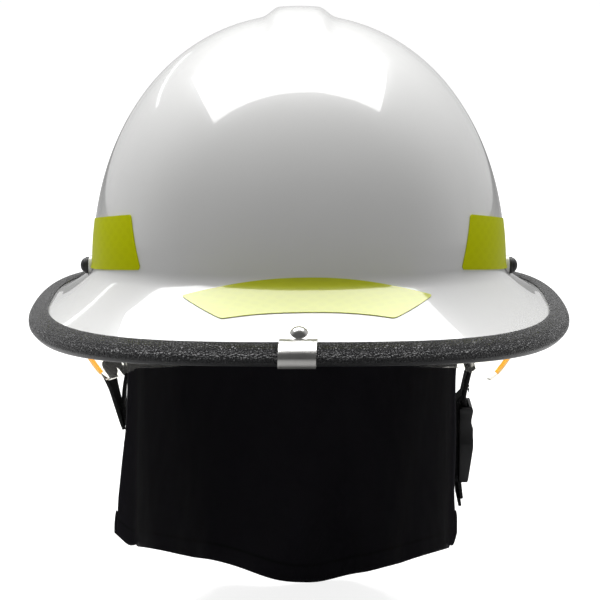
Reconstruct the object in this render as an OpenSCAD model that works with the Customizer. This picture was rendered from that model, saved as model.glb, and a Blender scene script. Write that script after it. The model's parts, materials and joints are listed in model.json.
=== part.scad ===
// Full-brim fire helmet with a retractable visor, a ratchet headband, a chin strap and a neck curtain.
// Millimetres. +Z is up, the front faces -Y, and the origin is the centre of the head cavity
// in the plane of the impact cap's lower rim.

/* [Shell] */
// Width of the dome where it meets the brim
dome_w = 225.6; // [218:0.2:236]
// Reach of the dome in front of the head centre
dome_front = 126; // [122:1:134]
// Reach of the dome behind the head centre
dome_rear = 137; // [133:1:148]
// Height of the dome above the head centre
dome_h = 138.5; // [134:0.5:150]
// Wall of the shell
shell_t = 3; // [2.5:0.1:3.4]
// Width over the edge trim
brim_w = 295.4; // [285:0.2:320]
// Reach of the edge trim in front of the head centre
brim_front = 173; // [166:1:182]
// Reach of the edge trim behind the head centre
brim_rear = 207; // [196:1:222]
// Level of the brim's edge at the front
edge_z_front = -17; // [-22:0.5:-12]
// Level of the brim's edge at the sides
edge_z_side = -22; // [-27:0.5:-18]
// Level of the brim's edge at the rear
edge_z_rear = -36; // [-46:0.5:-28]
// Height of the ridge along the crown
ridge_h = 4.6; // [2:0.1:8]
// Width of the crown ridge at its foot
ridge_w = 40; // [30:1:60]

/* [Edge trim and front clip] */
// Reach of the trim's top lip over the brim
trim_lip = 9; // [6:0.5:12]
// How far the trim stands past the shell's edge
trim_nose = 4.5; // [3.5:0.1:7]
// Width of the steel clip that holds the trim's ends
clip_w = 19; // [16:0.5:28]
// Thickness of the clip's strap
clip_t = 1; // [0.6:0.1:1.6]
// Shaft diameter of the clip's screw
clip_screw_d = 4; // [3:0.5:5]
// Head diameter of the clip's screw
clip_head_d = 10; // [8:0.5:12]

/* [Reflective strips] */
// Long side of the front strip
front_strip_w = 136; // [100:1:150]
// Height of the side and rear strips
side_strip_h = 28; // [20:1:36]
// Thickness of the strips
strip_t = 0.5; // [0.3:0.1:1]

/* [Impact cap and crown straps] */
// Room between the shell and the impact cap at the sides
cap_room_side = 13.8; // [12.8:0.2:16]
// Room between the shell and the impact cap at the front
cap_room_front = 25; // [23:1:28]
// Room between the shell and the impact cap at the rear
cap_room_rear = 10; // [7:1:16]
// Wall of the impact cap
cap_t = 12; // [8:0.5:14]
// Width of the crown straps
crown_strap_w = 19; // [15:1:25]
// Thickness of the crown straps
crown_strap_t = 1.6; // [1:0.1:1.8]
// Room between the impact cap and the lowest crown strap
crown_room = 16; // [12:1:24]
// Diameter of the crown pad
crown_pad_d = 84; // [60:1:96]

/* [Headband and ratchet] */
// Room between the impact cap's outer side and the headband
band_room_side = 17; // [14:0.5:21]
// Room between the impact cap's outer face and the headband at the front
band_room_front = 10; // [6:0.5:14]
// Room between the impact cap's outer face and the headband at the rear
band_room_rear = 27; // [26:0.5:30]
// Height of the headband
band_h = 26; // [20:1:30]
// Wall of the headband
band_t = 1.8; // [1.2:0.1:2.4]
// Teeth on the ratchet's pinion
pinion_teeth = 12; // [12:2:14]
// Module of the pinion and of the racks on the headband's tails
rack_module = 1; // [0.9:0.05:1.1]
// Diameter of the ratchet knob
knob_d = 36; // [30:1:38]
// Thickness of the ratchet knob
knob_t = 8; // [6:0.5:9]
// Diameter of the ratchet's shaft
shaft_d = 6; // [5:0.5:7]

/* [Visor] */
// How far the lens's sphere reaches past the shell's inner face at the pivots
lens_reach = 0.2; // [-0.8:0.1:1.2]
// Room between the lens and the shell at the front
lens_room = 9; // [8:0.5:11]
// Thickness of the lens
lens_t = 2.2; // [1.6:0.1:2.6]
// Diameter of the pivot bolts
pivot_d = 6; // [5:0.5:7]
// Thickness of the visor arms
arm_t = 1.8; // [1.2:0.1:2.2]

/* [Chin strap] */
// Width of the chin strap's webbing
web_w = 19; // [15:1:22]
// Thickness of the webbing
web_t = 1.8; // [1.2:0.1:2.2]
// Wire diameter of the strap's rings
ring_d = 3; // [2.5:0.1:3.4]
// Width of the quick-release buckle
buckle_w = 30; // [26:1:34]
// Thickness of the quick-release buckle's socket
buckle_t = 7.8; // [7.4:0.1:9]

/* [Neck curtain and hang ring] */
// Drop of the curtain at its front edges
curtain_side_drop = 162; // [130:1:170]
// Drop of the curtain at the centre of the back
curtain_back_drop = 207; // [175:1:215]
// Thickness of the curtain's cloth
curtain_t = 2; // [1.4:0.1:2.4]
// Inner radius of the hang ring
hang_ring_r = 11; // [9:0.5:14]
// Wire diameter of the hang ring
hang_ring_wire = 3.2; // [2.5:0.1:4]

/* [Hidden] */
$fn = 64;
// Exponents of the rounded ovals: the dome's plan and profile, and the brim's plan
dome_n = 2.2;
dome_q = 2.13;
brim_n = 2.4;
// Level where the dome meets the brim, at the front, the sides and the rear
base_front = 9;
base_side = 0;
base_rear = -8;
// Height of the fillet on the dome, its reach on the brim, and the brim's dish
fillet_up = 9;
fillet_out = 9;
brim_dish = 1.6;
// Clearances: soft or faceted neighbours, running shafts, and plain gaps
soft_gap = 0.3;
run_gap = 0.05;
gap = 0.4;
// Directions round the shell, counted from the front towards +X
turn_steps = 60;
turns = [for (i = [0 : turn_steps - 1]) i * 360 / turn_steps];
dome_lats = [8, 18, 28, 38, 47, 55, 62, 68, 74, 79, 83];
fillet_steps = [0, 0.25, 0.5, 0.75];
brim_steps = [0, 0.4, 0.7, 1];
eps = 0.01;
trim_top = 2.4;
trim_under = 5.6;
trim_sag = 3;

// Where the visor turns: the pivot axis runs along X through this point
lens_r = dome_w / 2 - shell_t + lens_reach;
pivot_y = lens_r + lens_room + shell_t - dome_front;
pivot_z = 2;
// The visor arms' outer face, and the washers outside their bosses
arm_out = lens_r - lens_t - 0.8;
boss_out = arm_out;
boss_t = 4;
washer_t = 0.8;
// The impact cap, sized from the shell and from the lens that turns over it
cap_w = dome_w - 2 * shell_t - 2 * cap_room_side;
cap_front = dome_front - shell_t - cap_room_front;
cap_rear = dome_rear - shell_t - cap_room_rear;
cap_h = pivot_z + lens_r;
crown_strap_h = cap_h - cap_t - crown_room;
// The headband, sized from the impact cap
band_w = cap_w - 2 * band_room_side;
band_front = cap_front - band_room_front;
band_rear = cap_rear - band_room_rear;

// Signed power, so that the ovals close in every quadrant
function pw(v, e) = sign(v) * pow(abs(v), e);
// A rounded oval in plan: half width w, reach f to the front and b to the rear, exponent n
function oval(a, w, f, b, n) = [w * pw(sin(a), 2 / n), -(cos(a) >= 0 ? f : b) * pw(cos(a), 2 / n)];
// A level that runs smoothly from its front value over its side value to its rear value
function level(a, front, side, rear, e) =
    side + (front - side) * pow(max(0, cos(a)), e) + (rear - side) * pow(max(0, -cos(a)), e);
function unit(v) = v / norm(v);
function mix(p, q, k) = p + (q - p) * k;
function mean(list) = [for (v = list) 1] * list / len(list);

// Points of the shell's outer face, set in by an inset for its inner face
function base_z(a) = level(a, base_front, base_side, base_rear, 1);
function dome_point(a, lat, inset) =
    let(p = oval(a, dome_w / 2 - inset, dome_front - inset, dome_rear - inset, dome_n),
        s = pow(sin(lat), 2 / dome_q), c = pow(cos(lat), 2 / dome_q),
        b = base_z(a) - 0.52 * inset)
    [p.x * s, p.y * s, b + (dome_h - inset - b) * c];
function junction(a) =
    let(p = oval(a, dome_w / 2, dome_front, dome_rear, dome_n)) [p.x, p.y, base_z(a)];
function brim_edge(a) =
    let(reach = 0.8 * trim_nose,
        p = oval(a, brim_w / 2 - reach, brim_front - reach, brim_rear - reach, brim_n))
    [p.x, p.y, level(a, edge_z_front, edge_z_side, edge_z_rear, 3)];
// The brim's outward direction at a turn, and its normal in the same upright plane
function brim_out(a) = unit(brim_edge(a) - junction(a));
function brim_up(a) = let(u = brim_out(a), h = norm([u.x, u.y])) [-u.z * u.x / h, -u.z * u.y / h, h];
function brim_point(a, k, inset) =
    mix(junction(a), brim_edge(a), k) - brim_up(a) * (inset + brim_dish * 4 * k * (1 - k));
function fillet_point(a, k, inset) =
    let(span = norm(brim_edge(a) - junction(a)),
        lat = acos(pow(fillet_up / dome_h, dome_q / 2)),
        p0 = dome_point(a, lat, inset),
        j = junction(a), u = brim_out(a), h = unit([u.x, u.y, 0]),
        p1 = j - (h + brim_up(a)) * inset / (1 - u.z),
        p2 = brim_point(a, fillet_out / span, inset))
    mix(mix(p0, p1, k), mix(p1, p2, k), k);
function shell_column(a, inset) =
    let(first = fillet_out / norm(brim_edge(a) - junction(a)))
    concat([for (lat = dome_lats) dome_point(a, lat, inset)],
        [for (k = fillet_steps) fillet_point(a, k, inset)],
        [for (k = brim_steps) brim_point(a, first + (1 - first) * k, inset)]);
function across(columns) = [for (i = [0 : len(columns[0]) - 1]) [for (c = columns) c[i]]];
function backwards(list) = [for (i = [len(list) - 1 : -1 : 0]) list[i]];

// A closed skin over rings of points, each ring running anticlockwise about the way on,
// shut by fans at both ends, or joined end to end as a loop
module skin(rings, loop = false) {
    n = len(rings[0]);
    m = len(rings);
    sides = [for (i = [0 : (loop ? m : m - 1) - 1]) for (j = [0 : n - 1])
        let(a = i * n + j, b = i * n + (j + 1) % n, k = (i + 1) % m,
            c = k * n + (j + 1) % n, d = k * n + j)
        each [[a, c, b], [a, d, c]]];
    first = [for (j = [0 : n - 1]) [m * n, j, (j + 1) % n]];
    last = [for (j = [0 : n - 1]) [m * n + 1, (m - 1) * n + (j + 1) % n, (m - 1) * n + j]];
    points = [for (r = rings) each r];
    if (loop) polyhedron(points, sides);
    else polyhedron(concat(points, [mean(rings[0]), mean(rings[m - 1])]), concat(sides, first, last));
}

// A thin closed sheet between two grids of points, the first of which faces outwards
module sheet(front, back) {
    rows = len(front);
    cols = len(front[0]);
    n = rows * cols;
    cells = [for (i = [0 : rows - 2]) for (j = [0 : cols - 2]) [i, j]];
    function at(i, j, side) = side * n + i * cols + j;
    face_a = [for (c = cells) let(i = c[0], j = c[1])
        each [[at(i, j, 0), at(i + 1, j + 1, 0), at(i, j + 1, 0)],
              [at(i, j, 0), at(i + 1, j, 0), at(i + 1, j + 1, 0)]]];
    face_b = [for (c = cells) let(i = c[0], j = c[1])
        each [[at(i, j, 1), at(i, j + 1, 1), at(i + 1, j + 1, 1)],
              [at(i, j, 1), at(i + 1, j + 1, 1), at(i + 1, j, 1)]]];
    edge = concat([for (j = [0 : cols - 2]) [0, j, 0, j + 1]],
        [for (i = [0 : rows - 2]) [i, cols - 1, i + 1, cols - 1]],
        [for (j = [cols - 1 : -1 : 1]) [rows - 1, j, rows - 1, j - 1]],
        [for (i = [rows - 1 : -1 : 1]) [i, 0, i - 1, 0]]);
    rim = [for (e = edge)
        each [[at(e[0], e[1], 0), at(e[2], e[3], 0), at(e[2], e[3], 1)],
              [at(e[0], e[1], 0), at(e[2], e[3], 1), at(e[0], e[1], 1)]]];
    polyhedron(concat([for (r = front) each r], [for (r = back) each r]), concat(face_a, face_b, rim));
}

// A flat band of a width and thickness along points, with the width's direction at each point
module band_along(points, wides, w, t) {
    last = len(points) - 1;
    along = [for (i = [0 : last]) unit(points[min(i + 1, last)] - points[max(i - 1, 0)])];
    ups = [for (i = [0 : last]) unit(cross(along[i], wides[i]))];
    skin([for (i = [0 : last])
        let(p = points[i], s = unit(cross(ups[i], along[i])) * w / 2, u = ups[i] * t / 2)
        [p - s - u, p + s - u, p + s + u, p - s + u]]);
}

// Everything below the inner face of the dome
module dome_inside(inset) {
    columns = [for (a = turns) shell_column(a, inset)];
    skin(backwards([for (i = [0 : len(dome_lats) - 1]) [for (c = columns) c[i]]]));
}

// Places children on the brim's top face at a turn, with -Y pointing out and down the brim
// and +Z along its normal, at a distance in from the shell's edge
function edge_span(a) = norm(brim_edge(a) - junction(a));
function edge_slope(a) = asin(-brim_out(a).z);
module at_brim(a, distance_in) {
    translate(brim_point(a, 1 - distance_in / edge_span(a), 0))
        rotate([0, 0, a]) rotate([edge_slope(a), 0, 0]) children();
}
// Depth of the brim's dish at a distance in from the edge
function dish(a, d) = let(k = 1 - d / edge_span(a)) brim_dish * 4 * k * (1 - k);

// Height of the dome's outer face over a place in plan
function dome_height(x, y) =
    let(reach = y < 0 ? dome_front : dome_rear,
        s = pow(pow(abs(x) / (dome_w / 2), dome_n) + pow(abs(y) / reach, dome_n), 1 / dome_n),
        share = pow(abs(y) / reach / max(s, eps), dome_n / 2),
        a = y < 0 ? acos(min(1, share)) : 180 - acos(min(1, share)),
        b = base_z(a))
    b + (dome_h - b) * pow(max(0, 1 - pow(s, dome_q)), 1 / dome_q);

ridge_from = 34 - dome_front;
ridge_to = dome_rear - 37;
ridge_sink = 1.5;
module crown_ridge() {
    stations = [for (i = [0 : 14]) mix(ridge_from, ridge_to, i / 14)];
    skin([for (y = stations)
        let(c = (ridge_from + ridge_to) / 2, k = abs(y - c) / ((ridge_to - ridge_from) / 2),
            h = ridge_h * (1 - pow(k, 4)), e = ridge_w / 2, f = 0.3 * ridge_w)
        [[0, y, dome_height(0, y) + h], [f, y, dome_height(f, y) + h],
         [e, y, dome_height(e, y) + eps], [e, y, dome_height(e, y) - ridge_sink],
         [-e, y, dome_height(e, y) - ridge_sink], [-e, y, dome_height(e, y) + eps],
         [-f, y, dome_height(f, y) + h]]]);
}

// Bosses on the shell's sides, between the visor arms' washers and the bolts' heads
pivot_seat_r = 5.4;
pivot_seat_in = boss_out + washer_t + 2 * run_gap;
pivot_seat_out = dome_w / 2 + 2.4;
module along_x(side, from, to, r) {
    translate([side * from, pivot_y, pivot_z]) rotate([0, side * 90, 0]) cylinder(r = r, h = to - from);
}

clip_screw_in = 16.6;
module outer_shell() {
    columns = [for (a = turns) concat(shell_column(a, shell_t), backwards(shell_column(a, 0)))];
    color("white") difference() {
        union() {
            skin(across(columns));
            crown_ridge();
            for (side = [-1, 1]) along_x(side, pivot_seat_in, pivot_seat_out, pivot_seat_r);
        }
        for (side = [-1, 1]) {
            along_x(side, pivot_seat_in - 8, pivot_seat_out + 5, pivot_d / 2 + gap / 2);
            along_x(side, pivot_seat_out, pivot_seat_out + 10, pivot_seat_r);
        }
        at_brim(0, clip_screw_in) cylinder(d = clip_screw_d + gap, h = 20, center = true);
        for (side = [-1, 1]) at_brim(180, hang_in) translate([side * hang_rivet_x, 0, 0])
            cylinder(d = hang_rivet_d + gap, h = 20, center = true);
    }
}

// The trim's section in the brim's own frame: [out along the brim, up along its normal]
function trim_section(a) =
    let(d = dish(a, trim_lip), l = -trim_lip, t = shell_t, g = soft_gap, n = trim_nose,
        low = trim_under + trim_sag * pow(sin(a), 2))
    [[l, g - d], [l - 0.2, 1.2 - d], [l + 1.5, trim_top - d], [-2, trim_top + 0.3], [2, 2],
     [0.85 * n, 0.4], [n, -1.8], [0.78 * n, -0.75 * low], [0.26 * n, -low], [-3, -low - 0.3],
     [l + 1.5, -low - d + 0.3], [l - 0.2, -t - 1.4 - d], [l, -t - g - d], [g, -t - g], [g, g]];
module edge_trim() {
    color("black") skin([for (a = turns) let(e = brim_edge(a), u = brim_out(a), v = brim_up(a))
        [for (p = trim_section(a)) e + u * p.x + v * p.y]], loop = true);
}

// The clip's strap as a path in the same frame, wrapped round the trim at the front
clip_reach = 23;
clip_lift = 0.3 + clip_t / 2;
function clip_path() =
    let(l = -trim_lip, f = clip_lift, n = trim_nose, d = dish(0, trim_lip))
    [[-clip_reach, f - dish(0, clip_reach)], [l - 2.2, f - dish(0, trim_lip + 2.2)],
     [l - 1.2, 1.2 - d + 0.6 * f], [l + 1.1, trim_top - d + f], [-2, trim_top + 0.3 + f],
     [2.3, 2.1 + 0.9 * f], [0.85 * n + 0.8 * f, 0.5 + 0.6 * f], [n + f, -1.8],
     [0.78 * n + 0.9 * f, -4.3 - 0.4 * f], [0.26 * n + 0.4 * f, -trim_under - f],
     [-4, -trim_under - 0.35 - f]];
function strap_outline(path, t) =
    let(last = len(path) - 1,
        side = [for (i = [0 : last])
            let(d = unit(path[min(i + 1, last)] - path[max(i - 1, 0)])) [-d.y, d.x] * t / 2])
    concat(path + side, backwards(path - side));
// Maps that frame, with its origin at the shell's edge, into the helmet's
module in_front_section() {
    translate(brim_edge(0)) rotate([edge_slope(0), 0, 0]) rotate([90, 0, -90]) children();
}
clip_corner = 5;
module front_clip() {
    color("silver") difference() {
        in_front_section() linear_extrude(clip_w, center = true)
            polygon(strap_outline(clip_path(), clip_t));
        at_brim(0, clip_screw_in) cylinder(d = clip_screw_d + gap, h = 20, center = true);
        for (side = [-1, 1]) at_brim(0, clip_reach) translate([side * clip_w / 2, 0, 0])
            rotate([0, 0, 45]) cube([clip_corner, clip_corner, 6], center = true);
    }
}
clip_head_h = 3;
clip_nut_t = 3;
clip_plate_z = clip_lift + clip_t / 2;
module front_clip_screw() {
    r = clip_head_d / 2;
    big = (r * r + clip_head_h * clip_head_h) / (2 * clip_head_h);
    color("lightgray") at_brim(0, clip_screw_in) {
        translate([0, 0, clip_plate_z + soft_gap]) intersection() {
            translate([0, 0, clip_head_h - big]) sphere(big);
            cylinder(r = r, h = clip_head_h + 1);
        }
        translate([0, 0, -shell_t - clip_nut_t - 1])
            cylinder(d = clip_screw_d, h = shell_t + clip_nut_t + 1 + clip_plate_z + 2 * soft_gap);
    }
}
module front_clip_nut() {
    color("silver") at_brim(0, clip_screw_in) translate([0, 0, -shell_t - clip_nut_t - 0.15])
        difference() {
            cylinder(d = 2 * clip_screw_d, h = clip_nut_t, $fn = 6);
            translate([0, 0, -1]) cylinder(d = clip_screw_d + 2 * run_gap, h = clip_nut_t + 2);
        }
}

// A point on the shell's outer face, at a turn and a run measured from the junction:
// outwards along the brim when positive, up the dome when negative
function face_point(a, run, lift) =
    run >= fillet_out ? brim_point(a, run / edge_span(a), -lift)
    : run >= -fillet_up ? fillet_point(a, (run + fillet_up) / (fillet_up + fillet_out), -lift)
    : dome_point(a, acos(pow(-run / (dome_h - base_z(a)), dome_q / 2)), -lift);
strip_lift = 0.45;
strip_cols = 12;
strip_rows = 4;
function strip_grid(low, high, lift) =
    [for (i = [0 : strip_rows]) [for (j = [0 : strip_cols])
        let(t = i / strip_rows, k = j / strip_cols, p = mix(low, high, t),
            a = mix(p[0], p[1], k), bow = 4 * pow(k - 0.5, 2))
        face_point(a, p[2] + p[3] * bow + p[4] * (k - 0.5), lift)]];
// A strip between two edges: [first turn, last turn, run, extra run at both ends, tilt]
module strip(low, high) {
    sheet(strip_grid(low, high, strip_lift + strip_t), strip_grid(low, high, strip_lift));
}
front_strip_x = 4.5;
front_strip_low = 0.61;
function front_turn(x) = sign(x) * asin(pow(abs(x) / (dome_w / 2 + 14), 1.1));
module reflective_front() {
    half = front_strip_w / 2;
    low = front_strip_low * half;
    color("yellow") strip([front_turn(front_strip_x - low), front_turn(front_strip_x + low), 18, 5.5, 0],
        [front_turn(front_strip_x - half), front_turn(front_strip_x + half), -7, 15, 0]);
}
strip_foot = -2.5;
strip_lean = 6;
// Side and rear strips: [first turn, last turn, tilt that lifts the end nearer the front]
module side_strip(span) {
    strip([span[0], span[1], strip_foot, 0, span[2]],
        [span[0] + strip_lean, span[1] - strip_lean, strip_foot - side_strip_h, 0, span[2]]);
}
module reflective_sides() {
    color("olive") difference() {
        for (span = [[46.6, 91, 5], [269, 315.2, -5], [112, 151, 0], [209, 248, 0]]) side_strip(span);
        for (side = [-1, 1]) along_x(side, pivot_seat_in - 8, pivot_seat_out + 15, pivot_seat_r + 1.4);
    }
}
module reflective_rear() {
    color("olive") side_strip([160, 200, 0]);
}

// The impact cap is a half egg with a wall
cap_turns = [for (i = [0 : 39]) i * 9];
cap_lats = [6, 16, 26, 36, 46, 56, 66, 76, 84, 90];
function egg_ring(w, f, b, h, lat) = [for (a = cap_turns)
    let(p = oval(a, w, f, b, 2)) [p.x * sin(lat), p.y * sin(lat), h * cos(lat)]];
function cap_ring(inset, lat) =
    egg_ring(cap_w / 2 - inset, cap_front - inset, cap_rear - inset, cap_h - inset, lat);
module impact_cap() {
    color("dimgray") difference() {
        skin(concat([for (lat = cap_lats) cap_ring(cap_t, lat)],
            [for (lat = backwards(cap_lats)) cap_ring(0, lat)]));
        key_blocks(gap);
        for (side = [-1, 1]) chin_rivet_holes(side, hanger_rivet_d + 0.2);
    }
}
spacer_turns = [128, 158, 202, 232];
module cap_spacers() {
    color("darkslategray") intersection() {
        dome_inside(shell_t + gap);
        difference() {
            union() {
                translate([0, 0, cap_h - 8]) cylinder(r = 26, h = 40);
                for (a = spacer_turns) rotate([0, 0, a]) translate([-12, -160, 8]) cube([24, 120, 26]);
            }
            skin(concat([[for (p = cap_ring(-gap, 90)) p - [0, 0, 5]]],
                [for (lat = backwards(cap_lats)) cap_ring(-gap, lat)]));
        }
    }
}

// Crown straps run from rim to rim over the head, stacked where they cross
strap_in = 4;
strap_turns = [0, 62, 118];
function strap_oval(a) =
    oval(a, cap_w / 2 - cap_t - strap_in, cap_front - cap_t - strap_in, cap_rear - cap_t - strap_in, 2);
crown_step = 3.4;
module crown_strap(index) {
    a = strap_turns[index];
    h = crown_strap_h + index * crown_step;
    tilts = [for (q = [-84 : 12 : 84]) q];
    points = [for (q = tilts)
        let(p = strap_oval(q > 0 ? a : a + 180) * abs(sin(q))) [p.x, p.y, h * cos(q)]];
    way = unit(strap_oval(a) - strap_oval(a + 180));
    color("gold") band_along(points, [for (q = tilts) [-way.y, way.x, 0]], crown_strap_w, crown_strap_t);
}
module crown_strap_long() { crown_strap(0); }
module crown_strap_left() { crown_strap(1); }
module crown_strap_right() { crown_strap(2); }
crown_pad_t = 5;
module crown_pad() {
    r = crown_pad_d / 2;
    color("black") translate([0, 0, crown_strap_h - crown_strap_t / 2 - 1 - crown_pad_t - 6.4])
        rotate_extrude() polygon([[0, 6.4], [r * 0.5, 5], [r * 0.8, 2.6], [r - 1, 0], [r, -1], [r, -3],
            [r - 2, -4.4], [r * 0.8, -2.4], [r * 0.5, 0.6], [0, 6.4 - crown_pad_t]]);
}
key_w = 16;
key_t = 2.4;
key_foot = 2;
key_h = 10;
module key_blocks(grow) {
    for (a = [for (s = strap_turns) each [s, s + 180]]) {
        p = strap_oval(a);
        translate([p.x, p.y, key_foot - grow]) rotate([0, 0, atan2(p.y, p.x)])
            translate([crown_strap_t / 2 + soft_gap - grow, -key_w / 2 - grow, 0])
                cube([key_t + 2 * grow, key_w + 2 * grow, key_h + 2 * grow]);
    }
}
module strap_keys() {
    color("black") key_blocks(0);
}

// The headband hangs under the cap and is open at the back, where its tails run in the ratchet
band_top = -4;
band_n = 2.6;
band_opening = 24;
function band_line(inset, from, to) = [for (i = [0 : 60])
    oval(mix(from, to, i / 60), band_w / 2 - inset, band_front - inset, band_rear - inset, band_n)];
module band_slice(outer, inner, from, to, z, h) {
    translate([0, 0, z]) linear_extrude(h)
        polygon(concat(band_line(outer, from, to), backwards(band_line(inner, from, to))));
}
band_end_turn = 180 - asin(pow(band_opening / (band_w / 2), band_n / 2));
module headband() {
    color("black") difference() {
        band_slice(0, band_t, -band_end_turn, band_end_turn, band_top - band_h, band_h);
        for (a = [-60 : 15 : 60]) rotate([0, 0, a]) translate([0, -80, band_top - 4])
            rotate([90, 0, 0]) cylinder(d = 2.6, h = 40, center = true, $fn = 24);
    }
}
hanger_turns = [48, 138, 222, 312];
module headband_hangers() {
    color("black") for (a = hanger_turns) {
        p = oval(a, band_w / 2 + gap, band_front + gap, band_rear + gap, band_n);
        q = oval(a, cap_w / 2 - cap_t + 3, cap_front - cap_t + 3, cap_rear - cap_t + 3, 2);
        bearing = atan2(p.y, p.x);
        foot = norm(q) - norm(p);
        translate([p.x, p.y, 0]) rotate([0, 0, bearing]) {
            translate([0.8, -7, band_top - 18]) cube([2, 14, 17.5 - band_top]);
            translate([0.8, -7, -0.3 - 1.6]) cube([max(foot, 4), 14, 1.6]);
        }
    }
}
brow_pad_t = 4;
module brow_pad() {
    color("dimgray") band_slice(band_t + soft_gap, band_t + soft_gap + brow_pad_t, -78, 78,
        band_top - band_h - 3, band_h + 3);
}

// The ratchet: two racks face a pinion from above and below, in one upright plane behind the head
ratchet_z = band_top - band_h / 2;
rack_front = band_rear - 0.8;
rack_t = 2;
pitch_r = rack_module * pinion_teeth / 2;
tooth_half = (PI * rack_module / 2 - 0.3) / 2;
addendum = 0.8 * rack_module;
dedendum = 1.1 * rack_module;
housing_half = 23;
housing_h = 28;
wall = 2.8;
function polar(r, a) = [r * cos(a), r * sin(a)];
module pinion_outline() {
    step = 360 / pinion_teeth;
    deg = 180 / PI;
    polygon([for (i = [0 : pinion_teeth - 1]) let(a = 90 + i * step)
        each [polar(pitch_r - dedendum, a - 1.35 * tooth_half / pitch_r * deg),
              polar(pitch_r, a - tooth_half / pitch_r * deg),
              polar(pitch_r + addendum, a - 0.5 * tooth_half / pitch_r * deg),
              polar(pitch_r + addendum, a + 0.5 * tooth_half / pitch_r * deg),
              polar(pitch_r, a + tooth_half / pitch_r * deg),
              polar(pitch_r - dedendum, a + 1.35 * tooth_half / pitch_r * deg)]]);
}
// A flat shape drawn in X and Z, standing at a depth behind the head
module upright(y, t) {
    translate([0, y + t, ratchet_z]) rotate([90, 0, 0]) linear_extrude(t) children();
}
module ratchet_pinion() {
    color("black") upright(rack_front, rack_t) difference() {
        pinion_outline();
        circle(shaft_d / 2 + run_gap);
    }
}
bar_h = 2.4;
rack_teeth = 6;
paddle_in = 40;
paddle_out = 53;
paddle_h = 13;
module tail_outline() {
    step = PI * rack_module;
    root = pitch_r + dedendum;
    polygon(concat([for (i = [-rack_teeth : rack_teeth - 1]) let(x = (i + 0.5) * step)
        each [[x - 1.35 * tooth_half, root], [x - tooth_half, pitch_r],
              [x - 0.5 * tooth_half, pitch_r - addendum], [x + 0.5 * tooth_half, pitch_r - addendum],
              [x + tooth_half, pitch_r], [x + 1.35 * tooth_half, root]]],
        [[(rack_teeth + 0.4) * step, root], [(rack_teeth + 0.4) * step, root + bar_h],
         [-paddle_out, root + bar_h], [-paddle_out, root + bar_h - paddle_h],
         [-paddle_in, root + bar_h - paddle_h], [-paddle_in, root]]));
}
module headband_tail_left() {
    color("black") upright(rack_front, rack_t) tail_outline();
}
module headband_tail_right() {
    color("black") upright(rack_front, rack_t) rotate(180) tail_outline();
}
ratchet_screw_x = 17;
ratchet_screw_d = 2.5;
module ratchet_plate(h) {
    corner = 4;
    for (x = [-1, 1]) for (z = [-1, 1])
        translate([x * (housing_half - corner), z * (housing_h / 2 - corner)]) circle(corner);
    square([2 * housing_half, housing_h - 2 * corner], center = true);
    square([2 * (housing_half - corner), housing_h], center = true);
}
rack_gap = 0.25;
module ratchet_housing() {
    root = pitch_r + dedendum;
    color("black") difference() {
        upright(rack_front - wall, wall + rack_t + rack_gap) ratchet_plate();
        translate([0, 0, ratchet_z]) for (s = [-1, 1])
            translate([0, rack_front + rack_t / 2 + rack_gap / 2 + 0.5, s * (root + bar_h / 2 - 0.5)])
                cube([100, rack_t + 2 * rack_gap + 1, bar_h + 2 * rack_gap + 3], center = true);
        upright(rack_front - rack_gap, rack_t + 3) circle(pitch_r + addendum + gap);
        upright(rack_front - wall - 1, 20) for (x = [-1, 1]) translate([x * ratchet_screw_x, 0])
            circle(d = ratchet_screw_d + 2 * run_gap);
    }
}
cover_t = 3;
cover_front = rack_front + rack_t + rack_gap + 0.05;
module ratchet_cover() {
    color("black") upright(cover_front, cover_t) difference() {
        ratchet_plate();
        circle(shaft_d / 2 + run_gap);
        for (x = [-1, 1]) translate([x * ratchet_screw_x, 0]) circle(d = ratchet_screw_d + 2 * run_gap);
    }
}
module ratchet_screws() {
    color("silver") for (x = [-1, 1]) translate([x * ratchet_screw_x, 0, 0]) {
        upright(rack_front - wall + 0.6, wall + rack_t + rack_gap + cover_t) circle(d = ratchet_screw_d);
        upright(cover_front + cover_t + 0.05, 0.9) circle(d = 2 * ratchet_screw_d - 0.6);
    }
}
knob_front = cover_front + cover_t + 1.3;
grips = 16;
module ratchet_knob() {
    color("black") difference() {
        union() {
            upright(knob_front, knob_t) circle(d = knob_d);
            upright(rack_front, knob_front - rack_front + 1) circle(d = shaft_d);
        }
        upright(knob_front - 1, knob_t + 2) for (i = [0 : grips - 1])
            rotate(i * 360 / grips) translate([knob_d / 2 + 0.6, 0]) circle(1.8);
        upright(knob_front + knob_t - 1.6, 3) circle(d = knob_d - 14);
    }
}
nape_pad_t = 5;
module nape_pad() {
    color("dimgray") translate([0, rack_front - wall - soft_gap - nape_pad_t / 2, ratchet_z])
        cube([2 * housing_half - 4, nape_pad_t, housing_h - 2], center = true);
}

// The visor lens is a sheet of a sphere about the pivot, flared outwards below the brim
lens_in = 68;
lens_cols = 34;
lens_rows = 10;
lens_flare = 0.19;
function smooth(v) = let(k = max(0, min(1, v))) k * k * (3 - 2 * k);
function lens_top(q) = 52 - 38 * smooth((abs(q) - 26) / 34);
function lens_low(q) = -18.7 + 13.7 * smooth(1.6 - abs(q) / 7.5) - 22.5 * pow(abs(q) / 50, 2.8)
    - 15 * smooth((abs(q) - 47) / 6) * (1 - 0.75 * smooth((abs(q) - 56) / 12));
function lens_point(q, lift, r) =
    [r * sin(q) * (1 + lens_flare * smooth((-26 - lift) / 34)),
     pivot_y - r * cos(q) * cos(lift), pivot_z + r * cos(q) * sin(lift)];
function lens_grid(r) = [for (i = [0 : lens_rows]) [for (j = [0 : lens_cols])
    let(q = mix(-lens_in, lens_in, j / lens_cols))
    lens_point(q, mix(lens_low(q), lens_top(q), i / lens_rows), r)]];
rivet_turn = 62;
rivet_lifts = [-18, -8];
visor_rivet_d = 4;
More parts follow.
